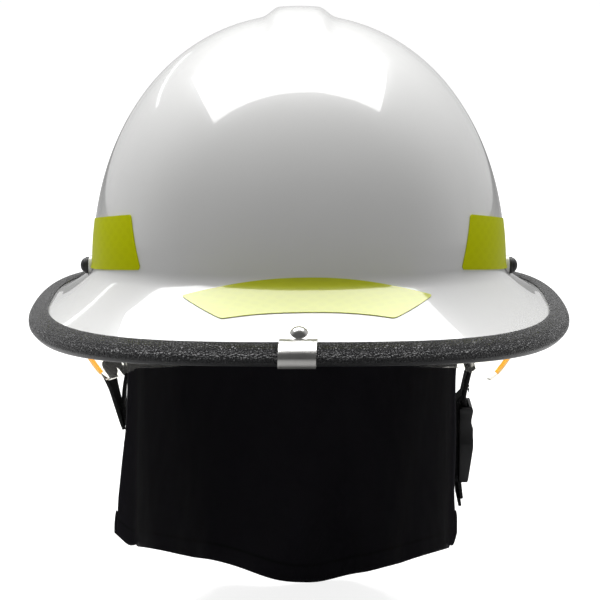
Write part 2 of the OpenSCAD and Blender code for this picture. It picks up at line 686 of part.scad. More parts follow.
module at_visor_rivets() {
    for (side = [-1, 1]) for (lift = rivet_lifts)
        translate([0, pivot_y, pivot_z]) multmatrix(rivet_frame(side * rivet_turn, lift)) children();
}
// Turns +Z to point out of the sphere at a place on the lens
function rivet_frame(q, lift) =
    let(z = [sin(q), -cos(q) * cos(lift), cos(q) * sin(lift)],
        x = unit(cross([0, 0, 1], z)), y = cross(z, x))
    [[x.x, y.x, z.x, 0], [x.y, y.y, z.y, 0], [x.z, y.z, z.z, 0], [0, 0, 0, 1]];
module visor_lens() {
    color([0.98, 0.93, 0.6, 0.5]) difference() {
        sheet(lens_grid(lens_r), lens_grid(lens_r - lens_t));
        at_visor_rivets() translate([0, 0, lens_r - 12]) cylinder(d = visor_rivet_d + 0.2, h = 20);
    }
}
arm_w = 24;
arm_reach = 52;
arm_fall = 15;
boss_r = 9;
module visor_arm(side) {
    color("black") difference() {
        union() {
            intersection() {
                translate([0, pivot_y, pivot_z]) difference() {
                    sphere(arm_out);
                    sphere(arm_out - arm_t);
                }
                translate([side * lens_r / 2, pivot_y, pivot_z]) rotate([arm_fall, 0, 0])
                    rotate([90, 0, side * 90]) linear_extrude(lens_r) {
                        circle(d = arm_w);
                        translate([side * arm_reach / -2, 0]) square([arm_reach, arm_w - 4], center = true);
                        translate([side * -arm_reach, 0]) circle(d = arm_w - 4);
                    }
            }
            along_x(side, boss_out - boss_t, boss_out, boss_r);
        }
        along_x(side, boss_out - boss_t - 10, boss_out + 10, pivot_d / 2 + run_gap);
        at_visor_rivets() translate([0, 0, lens_r - 12]) cylinder(d = visor_rivet_d + 0.2, h = 20);
    }
}
module visor_arm_left() { visor_arm(-1); }
module visor_arm_right() { visor_arm(1); }
module visor_rivets() {
    color("black") at_visor_rivets() {
        translate([0, 0, arm_out - arm_t - 1]) cylinder(d = visor_rivet_d, h = lens_r - arm_out + arm_t + 2);
        translate([0, 0, arm_out - arm_t - 1.5]) cylinder(d = 1.6 * visor_rivet_d, h = 1.1);
        translate([0, 0, lens_r + 0.2]) cylinder(d = 1.6 * visor_rivet_d, h = 1.1);
    }
}
nut_t = 4;
bolt_head_at = pivot_seat_out + 2 * run_gap;
bolt_end = boss_out - boss_t - washer_t - 2 * run_gap - nut_t - 0.7;
module visor_pivot_bolts() {
    color("black") for (side = [-1, 1]) {
        along_x(side, bolt_end, bolt_head_at + 1, pivot_d / 2);
        along_x(side, bolt_head_at, bolt_head_at + 1.7, 4.6);
        translate([side * bolt_head_at, pivot_y, pivot_z]) rotate([0, side * 90, 0]) intersection() {
            translate([0, 0, -0.4]) sphere(4.9);
            cylinder(r = 3.9, h = 8);
        }
    }
}
module pivot_ring(side, from, to, r) {
    difference() {
        along_x(side, from, to, r);
        along_x(side, from - 1, to + 1, pivot_d / 2 + run_gap);
    }
}
module visor_washers() {
    color("silver") for (side = [-1, 1]) {
        pivot_ring(side, boss_out + 0.05, boss_out + 0.05 + washer_t, 7);
        pivot_ring(side, boss_out - boss_t - 0.05 - washer_t, boss_out - boss_t - 0.05, 7);
    }
}
module visor_nuts() {
    out = boss_out - boss_t - 0.1 - washer_t;
    color("silver") for (side = [-1, 1]) difference() {
        translate([side * (out - nut_t), pivot_y, pivot_z]) rotate([0, side * 90, 0])
            cylinder(r = 5.6, h = nut_t, $fn = 6);
        along_x(side, out - nut_t - 1, out + 1, pivot_d / 2 + run_gap);
    }
}

// Chin strap: a hanger on each side of the cap ends in a barrel, in which a ring swings
chin_x = cap_w / 2;
chin_y = 31;
barrel_z = -47;
barrel_r = 3;
barrel_l = 14;
hanger_t = 1.6;
hanger_x = cap_w / 2 + 0.2;
hanger_w = 24;
hanger_rivet_d = 3.6;
hanger_rivet_z = 8;
hanger_rivet_y = [chin_y - 6, chin_y + 6];
module chin_rivet_holes(side, d) {
    for (y = hanger_rivet_y) translate([side * (cap_w / 2 - cap_t), y, hanger_rivet_z])
        rotate([0, side * 90, 0]) cylinder(d = d, h = cap_t + 8);
}
module along_y(x, z, from, to, r) {
    translate([x, from, z]) rotate([-90, 0, 0]) cylinder(r = r, h = to - from);
}
module chin_hangers() {
    color("black") for (side = [-1, 1]) difference() {
        union() {
            translate([side * (hanger_x + hanger_t / 2), chin_y, (hanger_rivet_z + 6 - 14) / 2])
                cube([hanger_t, hanger_w, hanger_rivet_z + 20], center = true);
            translate([side * (hanger_x + hanger_t / 2), chin_y, (-12 + barrel_z) / 2])
                cube([hanger_t, barrel_l, -12 - barrel_z], center = true);
            along_y(side * chin_x, barrel_z, chin_y - barrel_l / 2, chin_y + barrel_l / 2, barrel_r);
        }
        along_y(side * chin_x, barrel_z, 0, 60, ring_d / 2 + run_gap);
        chin_rivet_holes(side, hanger_rivet_d + 0.2);
    }
}
module chin_hanger_rivets() {
    color("silver") for (side = [-1, 1]) for (y = hanger_rivet_y) translate([0, y, hanger_rivet_z]) {
        translate([side * (cap_w / 2 - cap_t + 2), 0, 0]) rotate([0, side * 90, 0])
            cylinder(d = hanger_rivet_d, h = cap_t + 1);
        translate([side * (hanger_x + hanger_t + 0.1), 0, 0]) rotate([0, side * 90, 0])
            cylinder(r = hanger_rivet_d, h = 1.2);
    }
}
ring_w = 24;
ring_h = 12;
ring_bend = 3;
module ring_corner(y, z, turn) {
    translate([0, y, z]) rotate([turn, 0, 0]) rotate([0, -90, 0])
        rotate_extrude(angle = 90) translate([ring_bend, 0]) circle(d = ring_d);
}
module chin_ring(side) {
    w = ring_w / 2;
    b = ring_bend;
    h = ring_h;
    color("lightgray") translate([side * chin_x, chin_y, barrel_z]) {
        for (z = [0, -h]) along_y(0, z, -w + b, w - b, ring_d / 2);
        for (y = [-w, w]) translate([0, y, -h + b]) cylinder(d = ring_d, h = h - 2 * b);
        ring_corner(w - b, -b, 0);
        ring_corner(-w + b, -b, 90);
        ring_corner(-w + b, -h + b, 180);
        ring_corner(w - b, -h + b, 270);
    }
}
module chin_ring_left() { chin_ring(-1); }
module chin_ring_right() { chin_ring(1); }
// Webbing as a path in X and Z from a ring's foot, standing edge on along Y
web_top = barrel_z - ring_h;
module web_run(side, path, t, w) {
    translate([side * chin_x, chin_y + w / 2, web_top]) rotate([90, 0, 0]) linear_extrude(w)
        polygon(strap_outline(path, t));
}
loop_in = ring_d / 2 + soft_gap;
web_start = -loop_in - 0.4;
module web_loop(side) {
    translate([side * chin_x, chin_y + web_w / 2, web_top]) rotate([90, 0, 0])
        linear_extrude(web_w) difference() {
            circle(loop_in + web_t);
            circle(loop_in);
        }
}
strap_left_end = web_top - 71;
strap_left_x = -chin_x;
module chin_strap_left() {
    color("black") {
        web_loop(-1);
        web_run(-1, [[-0.3, web_start], [-2.2, -13], [-2.8, -23], [-2, -31], [-0.3, -38], [0, -40],
            [0, strap_left_end - web_top]], web_t, web_w);
        translate([-chin_x, chin_y, web_top])
            band_along([[-3.2, -2, -1.5], [-5.5, -5, 2.5], [-8.3, -7.5, 3.5], [-10.3, -8.5, 0.5],
                [-10.3, -8.5, -4], [-8.4, -8, -11], [-6.2, -6.5, -20], [-4.4, -4, -27.5], [-3.2, -1, -33.5]],
                [[0, 1, 0], [0.5, 0.9, 0], [0.9, 0.6, 0], [0.8, 0.7, 0], [0.42, 0.9, 0], [0.26, 0.95, 0],
                 [0.18, 1, 0], [0.1, 1, 0], [0, 1, 0]], web_w - 1, web_t);
    }
}
module chin_strap_right() {
    color("black") {
        web_loop(1);
        web_run(1, [[0, web_start], [-1.6, -12], [-2.6, -20], [-2.5, -34.5]], 1.4 * web_t, web_w);
        web_run(1, [[-2.8, -19.5], [-5.6, -21.2], [-7.1, -24], [-7.2, -62], [-6.5, -69]], web_t, web_w);
        web_run(1, [[-6.6, -66.7], [-5.8, -76]], 2 * web_t, web_w);
        web_run(1, [[-6, -74], [-5, -81]], web_t, web_w);
    }
}
slide_z = web_top - 48.5;
slide_h = 10;
module chin_slide() {
    w = web_w + 8;
    color("black") translate([strap_left_x, chin_y, slide_z]) difference() {
        cube([5, w, slide_h], center = true);
        cube([web_t + 2 * soft_gap, web_w + 2 * soft_gap, slide_h + 2], center = true);
        for (z = [-1, 1]) translate([-3, 0, 3 * z]) cube([4, web_w - 4, 2.2], center = true);
    }
}
// The buckle: a socket on the right strap with a sprung button, and a plug on the left strap
socket_in = chin_x - 5.9;
socket_top = web_top - 23.5;
socket_h = 42.5;
tongue_w = 17;
tongue_t = 2.4;
tongue_l = 23;
// The socket seen from the front: [out from its inner face, up from its top]
socket_side = [[0, -1], [1, 0], [buckle_t - 0.8, 0], [buckle_t - 0.2, -1.5], [buckle_t - 1.1, -7],
    [buckle_t - 1, -10], [buckle_t, -18], [buckle_t - 0.1, -23], [buckle_t - 2.7, 1.5 - socket_h],
    [buckle_t - 3.3, -socket_h], [1, -socket_h], [0, 1 - socket_h]];
module buckle_socket() {
    top = socket_top;
    mid = socket_in + 3.4;
    color("black") difference() {
        translate([0, chin_y + buckle_w / 2, 0]) rotate([90, 0, 0]) linear_extrude(buckle_w)
            polygon([for (p = socket_side) [socket_in + p[0], top + p[1]]]);
        translate([mid, chin_y, top]) cube([2 * web_t + 2 * gap, web_w + 2 * gap, 24], center = true);
        translate([socket_in + 2.2, chin_y, top - socket_h])
            cube([tongue_t + gap, tongue_w + gap, 2 * tongue_l + 2], center = true);
        translate([socket_in + 7, chin_y, button_z])
            cube([6, button_w + 2 * run_gap, button_h + 2 * run_gap], center = true);
        for (s = [-1, 1]) translate([socket_in + 4, chin_y + s * (buckle_w / 2 + 20), top - 12])
            rotate([0, 90, 0]) cylinder(r = 22, h = 30, center = true);
    }
}
button_w = 13;
button_h = 11;
button_z = socket_top - 18.5;
button_travel = 1.8;
module buckle_button() {
    base = socket_in + 4 + 0.1 + button_travel;
    color("black") translate([base, chin_y - button_w / 2, button_z - button_h / 2])
        cube([socket_in + buckle_t + 0.3 - base, button_w, button_h]);
}
module buckle_plug() {
    top = strap_left_end + 9;
    body_h = 14;
    color("black") translate([strap_left_x, chin_y, 0]) difference() {
        union() {
            translate([0, 0, top - body_h / 2]) cube([4.6, 24, body_h], center = true);
            translate([0, 0, top - body_h - tongue_l / 2])
                cube([tongue_t, tongue_w, tongue_l], center = true);
        }
        translate([0, 0, top]) cube([web_t + 2 * gap, web_w + 2 * gap, 2 * (top - strap_left_end + gap)],
            center = true);
        translate([0, 0, top - body_h - tongue_l * 0.55]) cube([tongue_t + 1, 8, 6], center = true);
    }
}

// The neck curtain hangs from a tape under the cap's rim, round the back and both sides
curtain_y = 25;
curtain_front = 9;
curtain_top = -3.3;
curtain_end_turn = 100;
curtain_side = cap_w / 2 - 5.6;
curtain_back = cap_rear - 5 - curtain_y;
curtain_cols = 40;
curtain_rows = 12;
tape_t = 2.6;
function curtain_plan(b, w, back, flare) =
    abs(b) <= 90 ? [-w * pw(sin(b), 0.86), curtain_y + back * pw(cos(b), 0.86)]
    : let(k = (abs(b) - 90) / 10)
        [-sign(b) * (w + flare * pow(k, 4)), curtain_y - (curtain_y - curtain_front) * k];
function curtain_drop(b) =
    let(away = (norm([b + 5 * max(0, cos(b)), 8]) - 8) / 82)
    mix(curtain_side_drop, curtain_back_drop, 1 - away) - 9 * pow(max(0, abs(b) - 93) / 7, 2);
// Main folds: each runs down from a bearing to another with a depth, widening as it falls
function fold(b, t, from, to, width, depth) =
    let(u = (b - mix(from, to, t)) / width) depth * t * exp(-u * u);
function curtain_swing(b, t) =
    fold(b, t, -30, 8, 13, -8) + fold(b, t, -12, -16, 9, 5) + fold(b, t, -78, -50, 12, -6)
    + fold(b, t, 34, 24, 12, 4) + fold(b, t, 70, 52, 14, -5) + fold(b, t, 12, 30, 8, 3);
function curtain_mid(b, t) =
    let(side = b > 0 ? -1 : 1,
        k = smooth(t * 2),
        w = curtain_side + (side < 0 ? 1.2 * smooth(t * 1.4 - 0.3) : -6.2 * k),
        flare = side < 0 ? mix(1, 5.2, k) + 5 * smooth(2 * t - 1) : mix(0.6, 2.4, k),
        p = curtain_plan(b, w, curtain_back, flare),
        out = unit([p.x, p.y - curtain_y + 12]), d = curtain_swing(b, t))
    [p.x + out.x * d, p.y + out.y * d, curtain_top - t * curtain_drop(b)];
function curtain_grid(lift) = [for (i = [curtain_rows : -1 : 0]) [for (j = [0 : curtain_cols])
    let(b = mix(-curtain_end_turn, curtain_end_turn, j / curtain_cols), t = i / curtain_rows,
        p = curtain_mid(b, t), out = unit([p.x, p.y - curtain_y + 12]))
    p + [out.x, out.y, 0] * lift]];
module neck_curtain() {
    color("midnightblue") sheet(curtain_grid(curtain_t / 2), curtain_grid(-curtain_t / 2));
}
function tape_line(lift) = [for (j = [0 : curtain_cols])
    curtain_plan(mix(-curtain_end_turn, curtain_end_turn, j / curtain_cols), curtain_side + lift,
        curtain_back + lift, 1)];
module curtain_tape() {
    color("black") translate([0, 0, -0.3 - tape_t]) linear_extrude(tape_t)
        polygon(concat(tape_line(2), backwards(tape_line(-4))));
}

// The ring to hang the helmet by swings in a bracket on the rear brim
hang_in = 52;
hang_rivet_x = 7;
hang_rivet_d = 3;
hang_plate_t = 1.2;
hang_barrel = 9;
hang_lift = 3.1;
plate_lift = 0.35;
module at_hang() {
    at_brim(180, hang_in) children();
}
module hang_bracket() {
    color("silver") at_hang() difference() {
        union() {
            translate([-11, -5, plate_lift]) cube([22, 10, hang_plate_t]);
            translate([-5, -hang_barrel, plate_lift]) cube([10, 6, hang_plate_t]);
            translate([-5, -hang_barrel, hang_lift]) rotate([0, 90, 0])
                cylinder(r = hang_lift - plate_lift, h = 10);
        }
        translate([-20, -hang_barrel, hang_lift]) rotate([0, 90, 0])
            cylinder(r = hang_ring_wire / 2 + run_gap, h = 40);
        for (side = [-1, 1]) translate([side * hang_rivet_x, 0, -2]) cylinder(d = hang_rivet_d + gap, h = 6);
    }
}
module hang_bracket_rivets() {
    color("silver") at_hang() for (side = [-1, 1]) translate([side * hang_rivet_x, 0, 0]) {
        translate([0, 0, -shell_t - 1]) cylinder(d = hang_rivet_d, h = shell_t + hang_plate_t + 1.5);
        translate([0, 0, plate_lift + hang_plate_t + 0.05]) cylinder(d = 2 * hang_rivet_d - 0.6, h = 1.1);
        translate([0, 0, -shell_t - 1.2]) cylinder(d = 2 * hang_rivet_d - 0.6, h = 1);
    }
}
module hang_ring() {
    r = hang_ring_r;
    color("silver") at_hang() translate([0, -hang_barrel, hang_lift]) {
        translate([-r, 0, 0]) rotate([0, 90, 0]) cylinder(d = hang_ring_wire, h = 2 * r);
        for (side = [-1, 1]) translate([side * r, 0, 0]) {
            sphere(d = hang_ring_wire);
            rotate([90, 0, 0]) cylinder(d = hang_ring_wire, h = 8);
        }
        translate([0, -8, 0]) rotate([0, 0, 180]) rotate_extrude(angle = 180) translate([r, 0])
            circle(d = hang_ring_wire);
    }
}

outer_shell();
edge_trim();
front_clip();
front_clip_screw();
front_clip_nut();
reflective_front();
reflective_sides();
reflective_rear();
impact_cap();
cap_spacers();
crown_strap_long();
crown_strap_left();
crown_strap_right();
crown_pad();
strap_keys();
headband();
headband_hangers();
brow_pad();
headband_tail_left();
headband_tail_right();
ratchet_housing();
ratchet_cover();
ratchet_pinion();
ratchet_knob();
ratchet_screws();
nape_pad();
visor_lens();
visor_arm_left();
visor_arm_right();
visor_rivets();
visor_pivot_bolts();
visor_washers();
visor_nuts();
chin_hangers();
chin_hanger_rivets();
chin_ring_left();
chin_ring_right();
chin_strap_left();
chin_strap_right();
chin_slide();
buckle_socket();
buckle_plug();
buckle_button();
curtain_tape();
neck_curtain();
hang_bracket();
hang_bracket_rivets();
hang_ring();
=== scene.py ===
# Full-brim fire helmet: shell, trim, lens, webbing, pads, curtain and finishes round the frame of solids.
import json
import math

import bpy
from bpy.props import FloatProperty, FloatVectorProperty, PointerProperty
from mathutils import Matrix, Vector, noise


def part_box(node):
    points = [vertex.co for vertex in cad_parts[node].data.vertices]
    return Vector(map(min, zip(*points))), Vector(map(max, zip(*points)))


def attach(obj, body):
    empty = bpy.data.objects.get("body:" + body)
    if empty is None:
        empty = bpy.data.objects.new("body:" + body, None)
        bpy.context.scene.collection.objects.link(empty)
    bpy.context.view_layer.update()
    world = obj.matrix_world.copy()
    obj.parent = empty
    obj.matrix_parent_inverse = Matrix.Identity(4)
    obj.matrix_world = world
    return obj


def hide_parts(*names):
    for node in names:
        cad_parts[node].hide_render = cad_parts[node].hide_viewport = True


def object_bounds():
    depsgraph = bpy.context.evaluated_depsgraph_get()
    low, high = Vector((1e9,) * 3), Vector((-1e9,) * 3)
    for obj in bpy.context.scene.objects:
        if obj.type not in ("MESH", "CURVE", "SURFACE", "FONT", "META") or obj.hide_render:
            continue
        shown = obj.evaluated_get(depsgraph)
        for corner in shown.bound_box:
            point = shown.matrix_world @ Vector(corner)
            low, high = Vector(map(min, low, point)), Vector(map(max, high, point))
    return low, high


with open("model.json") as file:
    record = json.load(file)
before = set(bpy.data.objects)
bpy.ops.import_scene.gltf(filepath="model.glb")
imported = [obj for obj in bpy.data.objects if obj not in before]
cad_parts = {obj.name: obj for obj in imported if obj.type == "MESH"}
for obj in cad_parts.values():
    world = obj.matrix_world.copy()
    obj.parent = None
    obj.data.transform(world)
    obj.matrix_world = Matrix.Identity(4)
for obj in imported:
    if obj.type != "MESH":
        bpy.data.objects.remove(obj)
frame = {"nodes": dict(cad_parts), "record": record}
solid_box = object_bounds()

bl_info = {
    "name": "Fire Helmet",
    "version": (1, 0, 0),
    "blender": (4, 5, 0),
    "location": "3D View > Sidebar > Helmet",
    "description": "Models and finishes a full-brim fire helmet round its frame of solids",
    "category": "Add Mesh",
}

MM = 0.001
BODIES = frame["record"]["behaviour"]["bodies"]
SLOTS = {row["node"]: row["material_slot"] for row in frame["record"]["subparts"]}
PIVOT = Vector((0, -4 * MM, 2 * MM))
STRAP_PLAN = (80 * MM, 82 * MM, 108 * MM)
STRAP_TURNS = (0, 62, 118)


def length(name, description, default):
    """A length property, in metres"""
    return FloatProperty(name=name, description=description, default=default, unit="LENGTH", precision=4)


def colour(name, description, default):
    """A colour property"""
    return FloatVectorProperty(name=name, description=description, default=default, subtype="COLOR",
                               min=0.0, max=1.0)


class HelmetShellSizes(bpy.types.PropertyGroup):
    """Sizes of the shell, its edge trim and its reflective strips"""
    dome_width: length("Dome width", "Width of the dome where it meets the brim", 225.6 * MM)
    dome_front: length("Dome front", "Reach of the dome in front of the head centre", 126 * MM)
    dome_rear: length("Dome rear", "Reach of the dome behind the head centre", 137 * MM)
    dome_height: length("Dome height", "Height of the dome above the head centre", 138.5 * MM)
    wall: length("Wall", "Wall of the shell", 3 * MM)
    brim_width: length("Brim width", "Width over the edge trim", 295.4 * MM)
    brim_front: length("Brim front", "Reach of the trim in front of the head centre", 173 * MM)
    brim_rear: length("Brim rear", "Reach of the trim behind the head centre", 207 * MM)
    ridge_rise: length("Ridge height", "Height of the crown ridge", 4.6 * MM)
    ridge_foot: length("Ridge width", "Width of the crown ridge at its foot", 40 * MM)
    trim_lip: length("Trim lip", "Reach of the trim's top lip over the brim", 9 * MM)
    trim_nose: length("Trim nose", "How far the trim stands past the shell's edge", 4.5 * MM)
    clip_width: length("Clip width", "Width of the steel clip at the front", 19 * MM)
    strip_length: length("Front strip length", "Long side of the front reflective strip", 136 * MM)
    strip_height: length("Strip height", "Height of the side and rear strips", 28 * MM)


class HelmetSoftSizes(bpy.types.PropertyGroup):
    """Sizes of the webbing and the neck curtain"""
    web_width: length("Webbing width", "Width of the chin strap's webbing", 19 * MM)
    web_wall: length("Webbing thickness", "Thickness of the chin strap's webbing", 1.8 * MM)
    crown_width: length("Crown strap width", "Width of the crown straps", 19 * MM)
    crown_wall: length("Crown strap thickness", "Thickness of the crown straps", 1.6 * MM)
    side_drop: length("Curtain side drop", "Drop of the curtain at its front edges", 162 * MM)
    back_drop: length("Curtain back drop", "Drop of the curtain at the centre of the back", 207 * MM)
    cloth_wall: length("Cloth thickness", "Thickness of the curtain's cloth", 2 * MM)
    cut_width: length("Cut width", "Width of the curtain's cloth before it was hung", 345 * MM)


class HelmetColours(bpy.types.PropertyGroup):
    """Base colours of the helmet's finishes"""
    shell: colour("Shell", "White of the moulded shell", (0.84, 0.84, 0.83))
    trim: colour("Trim", "Black of the edge trim", (0.010, 0.010, 0.012))
    steel: colour("Steel", "Stainless clip, screws and rings", (0.72, 0.71, 0.69))
    strip: colour("Strips", "Lime-yellow reflective film", (0.62, 0.67, 0.001))
    foam: colour("Foam", "Dark foam of the impact cap", (0.035, 0.035, 0.038))
    crown: colour("Crown webbing", "Golden para-aramid webbing", (0.62, 0.42, 0.075))
    padding: colour("Pads", "Knitted cover of the pads", (0.03, 0.03, 0.034))
    nylon: colour("Nylon", "Moulded headband and ratchet", (0.022, 0.022, 0.024))
    lens: colour("Lens", "Faint yellow of the clear lens", (0.985, 0.975, 0.90))
    # The lens rim's amber is a painted glow, standing in for the light that gathers in the lens's cut edge
    lens_rim_glow: colour("Lens rim", "Amber of the lens's cut edge", (0.92, 0.60, 0.035))
    webbing: colour("Webbing", "Black chin webbing", (0.014, 0.014, 0.016))
    curtain: colour("Curtain", "Blue-black cloth of the neck curtain", (0.0145, 0.0125, 0.0200))


# Plain helpers for places and curves

def signed_power(value, power):
    return math.copysign(abs(value) ** power, value)


def oval(turn, half, front, rear, power):
    """A rounded oval in plan, at a turn in degrees counted from the front towards +X"""
    s = math.sin(math.radians(turn))
    c = math.cos(math.radians(turn))
    reach = front if c >= 0 else rear
    return Vector((half * signed_power(s, 2 / power), -reach * signed_power(c, 2 / power), 0))


def level(turn, front, side, rear, power):
    """A level that runs from its front value over its side value to its rear value"""
    c = math.cos(math.radians(turn))
    return side + (front - side) * max(0, c) ** power + (rear - side) * max(0, -c) ** power


def smooth(value):
    k = max(0.0, min(1.0, value))
    return k * k * (3 - 2 * k)


def mix(first, second, share):
    return first + (second - first) * share


def curve_through(points, steps):
    """A smooth line through points, with some steps on each stretch"""
    line = []
    last = len(points) - 1
    for i in range(last):
        a = points[max(i - 1, 0)]
        b = points[i]
        c = points[i + 1]
        d = points[min(i + 2, last)]
        for k in range(steps):
            t = k / steps
            line.append(0.5 * (2 * b + (c - a) * t + (2 * a - 5 * b + 4 * c - d) * t * t
                               + (3 * b - a - 3 * c + d) * t ** 3))
    return line + [points[last].copy()]


class ShellForm:
    """The shell's faces: a dome and a brim that meet in a fillet"""
    dome_plan = 2.2
    dome_profile = 2.13
    brim_plan = 2.4
    fillet_up = 5 * MM
    fillet_out = 5 * MM
    brim_dish = 1.6 * MM
    base_levels = (12 * MM, 0, -8 * MM)
    edge_levels = (-17 * MM, -22 * MM, -36 * MM)
    trim_top = 2.4 * MM
    trim_under = 5.6 * MM
    trim_sag = 3 * MM

    def __init__(self, sizes):
        self.sizes = sizes
        self.half = sizes.dome_width / 2
        self.front = sizes.dome_front
        self.rear = sizes.dome_rear
        self.height = sizes.dome_height
        self.inset_edge = 0.8 * sizes.trim_nose

    def base(self, turn):
        return level(turn, *self.base_levels, 1)

    def dome(self, turn, lat, inset):
        foot_drop = 0.52
        place = oval(turn, self.half - inset, self.front - inset, self.rear - inset, self.dome_plan)
        out = math.sin(math.radians(lat)) ** (2 / self.dome_profile)
        up = max(0.0, math.cos(math.radians(lat))) ** (2 / self.dome_profile)
        foot = self.base(turn) - foot_drop * inset
        place *= out
        place.z = foot + (self.height - inset - foot) * up
        return place

    def junction(self, turn):
        place = oval(turn, self.half, self.front, self.rear, self.dome_plan)
        place.z = self.base(turn)
        return place

    def edge(self, turn):
        s = self.sizes
        back = self.inset_edge
        place = oval(turn, s.brim_width / 2 - back, s.brim_front - back, s.brim_rear - back, self.brim_plan)
        place.z = level(turn, *self.edge_levels, 3)
        return place

    def outwards(self, turn):
        return (self.edge(turn) - self.junction(turn)).normalized()

    def upwards(self, turn):
        out = self.outwards(turn)
        flat = math.hypot(out.x, out.y)
        return Vector((-out.z * out.x / flat, -out.z * out.y / flat, flat))

    def span(self, turn):
        return (self.edge(turn) - self.junction(turn)).length

    def dish(self, share):
        return self.brim_dish * 4 * share * (1 - share)

    def brim(self, turn, share, inset):
        place = self.junction(turn).lerp(self.edge(turn), share)
        return place - self.upwards(turn) * (inset + self.dish(share))

    def fillet(self, turn, share, inset):
        lat = math.degrees(math.acos((self.fillet_up / self.height) ** (self.dome_profile / 2)))
        top = self.dome(turn, lat, inset)
        out = self.outwards(turn)
        flat = Vector((out.x, out.y, 0)).normalized()
        corner = self.junction(turn) - (flat + self.upwards(turn)) * inset / (1 - out.z)
        foot = self.brim(turn, self.fillet_out / self.span(turn), inset)
        return top.lerp(corner, share).lerp(corner.lerp(foot, share), share)

    def face(self, turn, run, lift):
        """A place at a run from the junction: outwards when positive, up the dome when negative"""
        if run >= self.fillet_out:
            return self.brim(turn, run / self.span(turn), -lift)
        if run >= -self.fillet_up:
            share = (run + self.fillet_up) / (self.fillet_up + self.fillet_out)
            return self.fillet(turn, share, -lift)
        rise = -run / (self.height - self.base(turn))
        return self.dome(turn, math.degrees(math.acos(rise ** (self.dome_profile / 2))), -lift)

    def column(self, turn, inset):
        """Places from the crown to the brim's edge"""
        last_lat = 86.0
        dome_steps = 46
        fillet_steps = 9
        brim_steps = 12
        first = self.fillet_out / self.span(turn)
        places = [self.dome(turn, last_lat * i / dome_steps, inset) for i in range(dome_steps)]
        places += [self.fillet(turn, i / fillet_steps, inset) for i in range(fillet_steps)]
        places += [self.brim(turn, mix(first, 1, i / brim_steps), inset) for i in range(brim_steps + 1)]
        return places


# Plain helpers for pieces

def select_none():
    if bpy.context.object and bpy.context.object.mode != "OBJECT":
        bpy.ops.object.mode_set(mode="OBJECT")
    bpy.ops.object.select_all(action="DESELECT")


def select_only(piece):
    select_none()
    piece.select_set(True)
    bpy.context.view_layer.objects.active = piece


def finish_modifier(piece, kind, **settings):
    """Adds a modifier to a piece and applies it"""
    select_only(piece)
    modifier = piece.modifiers.new(kind.title(), kind)
    for name, value in settings.items():
        setattr(modifier, name, value)
    bpy.ops.object.modifier_apply(modifier=modifier.name)


def thickened(piece, wall, offset=0.0, **settings):
    finish_modifier(piece, "SOLIDIFY", thickness=wall, offset=offset, **settings)


def rounded(piece, width, angle=60, segments=2):
    """Bevels the edges that are sharper than an angle"""
    finish_modifier(piece, "BEVEL", width=width, segments=segments, limit_method="ANGLE",
                    angle_limit=math.radians(angle))


def edited(piece, *steps):
    """Runs steps in edit mode, each on the whole piece"""
    select_only(piece)
    bpy.ops.object.mode_set(mode="EDIT")
    for step, settings in steps:
        bpy.ops.mesh.select_all(action="SELECT")
        step(**settings)
    bpy.ops.object.mode_set(mode="OBJECT")


def merge_points(piece, gap=1e-6):
    """Merges points that meet, and turns the faces outwards"""
    edited(piece, (bpy.ops.mesh.remove_doubles, {"threshold": gap}),
           (bpy.ops.mesh.normals_make_consistent, {"inside": False}))


def close_ends(piece):
    """Closes the open ends of a tube with fans of faces"""
    edited(piece, (bpy.ops.mesh.fill_holes, {"sides": 0}),
           (bpy.ops.mesh.normals_make_consistent, {"inside": False}))


def shade(piece, angle=40):
    select_only(piece)
    bpy.ops.object.shade_smooth_by_angle(angle=math.radians(angle))


def patch(name, cols, rows, place, size=(1.0, 1.0), corner=0.0):
    """A grid carried onto a surface, by a function of its shares along and up. Its corners may be rounded,
    and its texture map is in metres of the given size"""
    select_none()
    bpy.ops.mesh.primitive_grid_add(x_subdivisions=cols, y_subdivisions=rows, size=1.0)
    piece = bpy.context.object
    piece.name = name
    piece.data.name = name
    for vertex in piece.data.vertices:
        vertex.co.x *= size[0]
        vertex.co.y *= size[1]
    if corner:
        round_corners(piece, size, corner)
    for vertex in piece.data.vertices:
        vertex.co = place(round(vertex.co.x / size[0] + 0.5, 6), round(vertex.co.y / size[1] + 0.5, 6))
    for loop in piece.data.uv_layers.active.data:
        loop.uv = (loop.uv[0] * size[0], loop.uv[1] * size[1])
    return piece


def round_corners(piece, size, corner):
    """Rounds the four corners of a flat grid in edit mode"""
    for vertex in piece.data.vertices:
        far = abs(vertex.co.x) > 0.499 * size[0] and abs(vertex.co.y) > 0.499 * size[1]
        vertex.select = far
    for edge in piece.data.edges:
        edge.select = False
    for polygon in piece.data.polygons:
        polygon.select = False
    bpy.ops.object.mode_set(mode="EDIT")
    bpy.context.tool_settings.mesh_select_mode = (True, False, False)
    bpy.ops.mesh.bevel(offset=corner, offset_pct=0, segments=6, affect="VERTICES")
    bpy.ops.object.mode_set(mode="OBJECT")


def added(piece, node, finish=None):
    """A piece that rides with a node's body and takes its slot, and its finish unless another is given"""
    piece.data.materials.clear()
    piece.data.materials.append(finish or finish_for(node))
    body = next(name for name, nodes in BODIES.items() if node in nodes)
    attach(piece, body)
    return piece


def dressed(piece, node, finish=None):
    """A piece that also stands for its node"""
    added(piece, node, finish)
    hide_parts(node)
    return piece


def softened(node, width, angle=38):
    """A copy of a moulded or pressed solid with its facets merged and its edges rounded"""
    flat = 0.7
    mesh = frame["nodes"][node].data.copy()
    piece = bpy.data.objects.new(node + "_piece", mesh)
    bpy.context.scene.collection.objects.link(piece)
    mesh.transform(frame["nodes"][node].matrix_world)
    merge_points(piece)
    edited(piece, (bpy.ops.mesh.dissolve_limited, {"angle_limit": math.radians(flat)}))
    if width:
        rounded(piece, width, angle)
    shade(piece, angle)
    return dressed(piece, node)


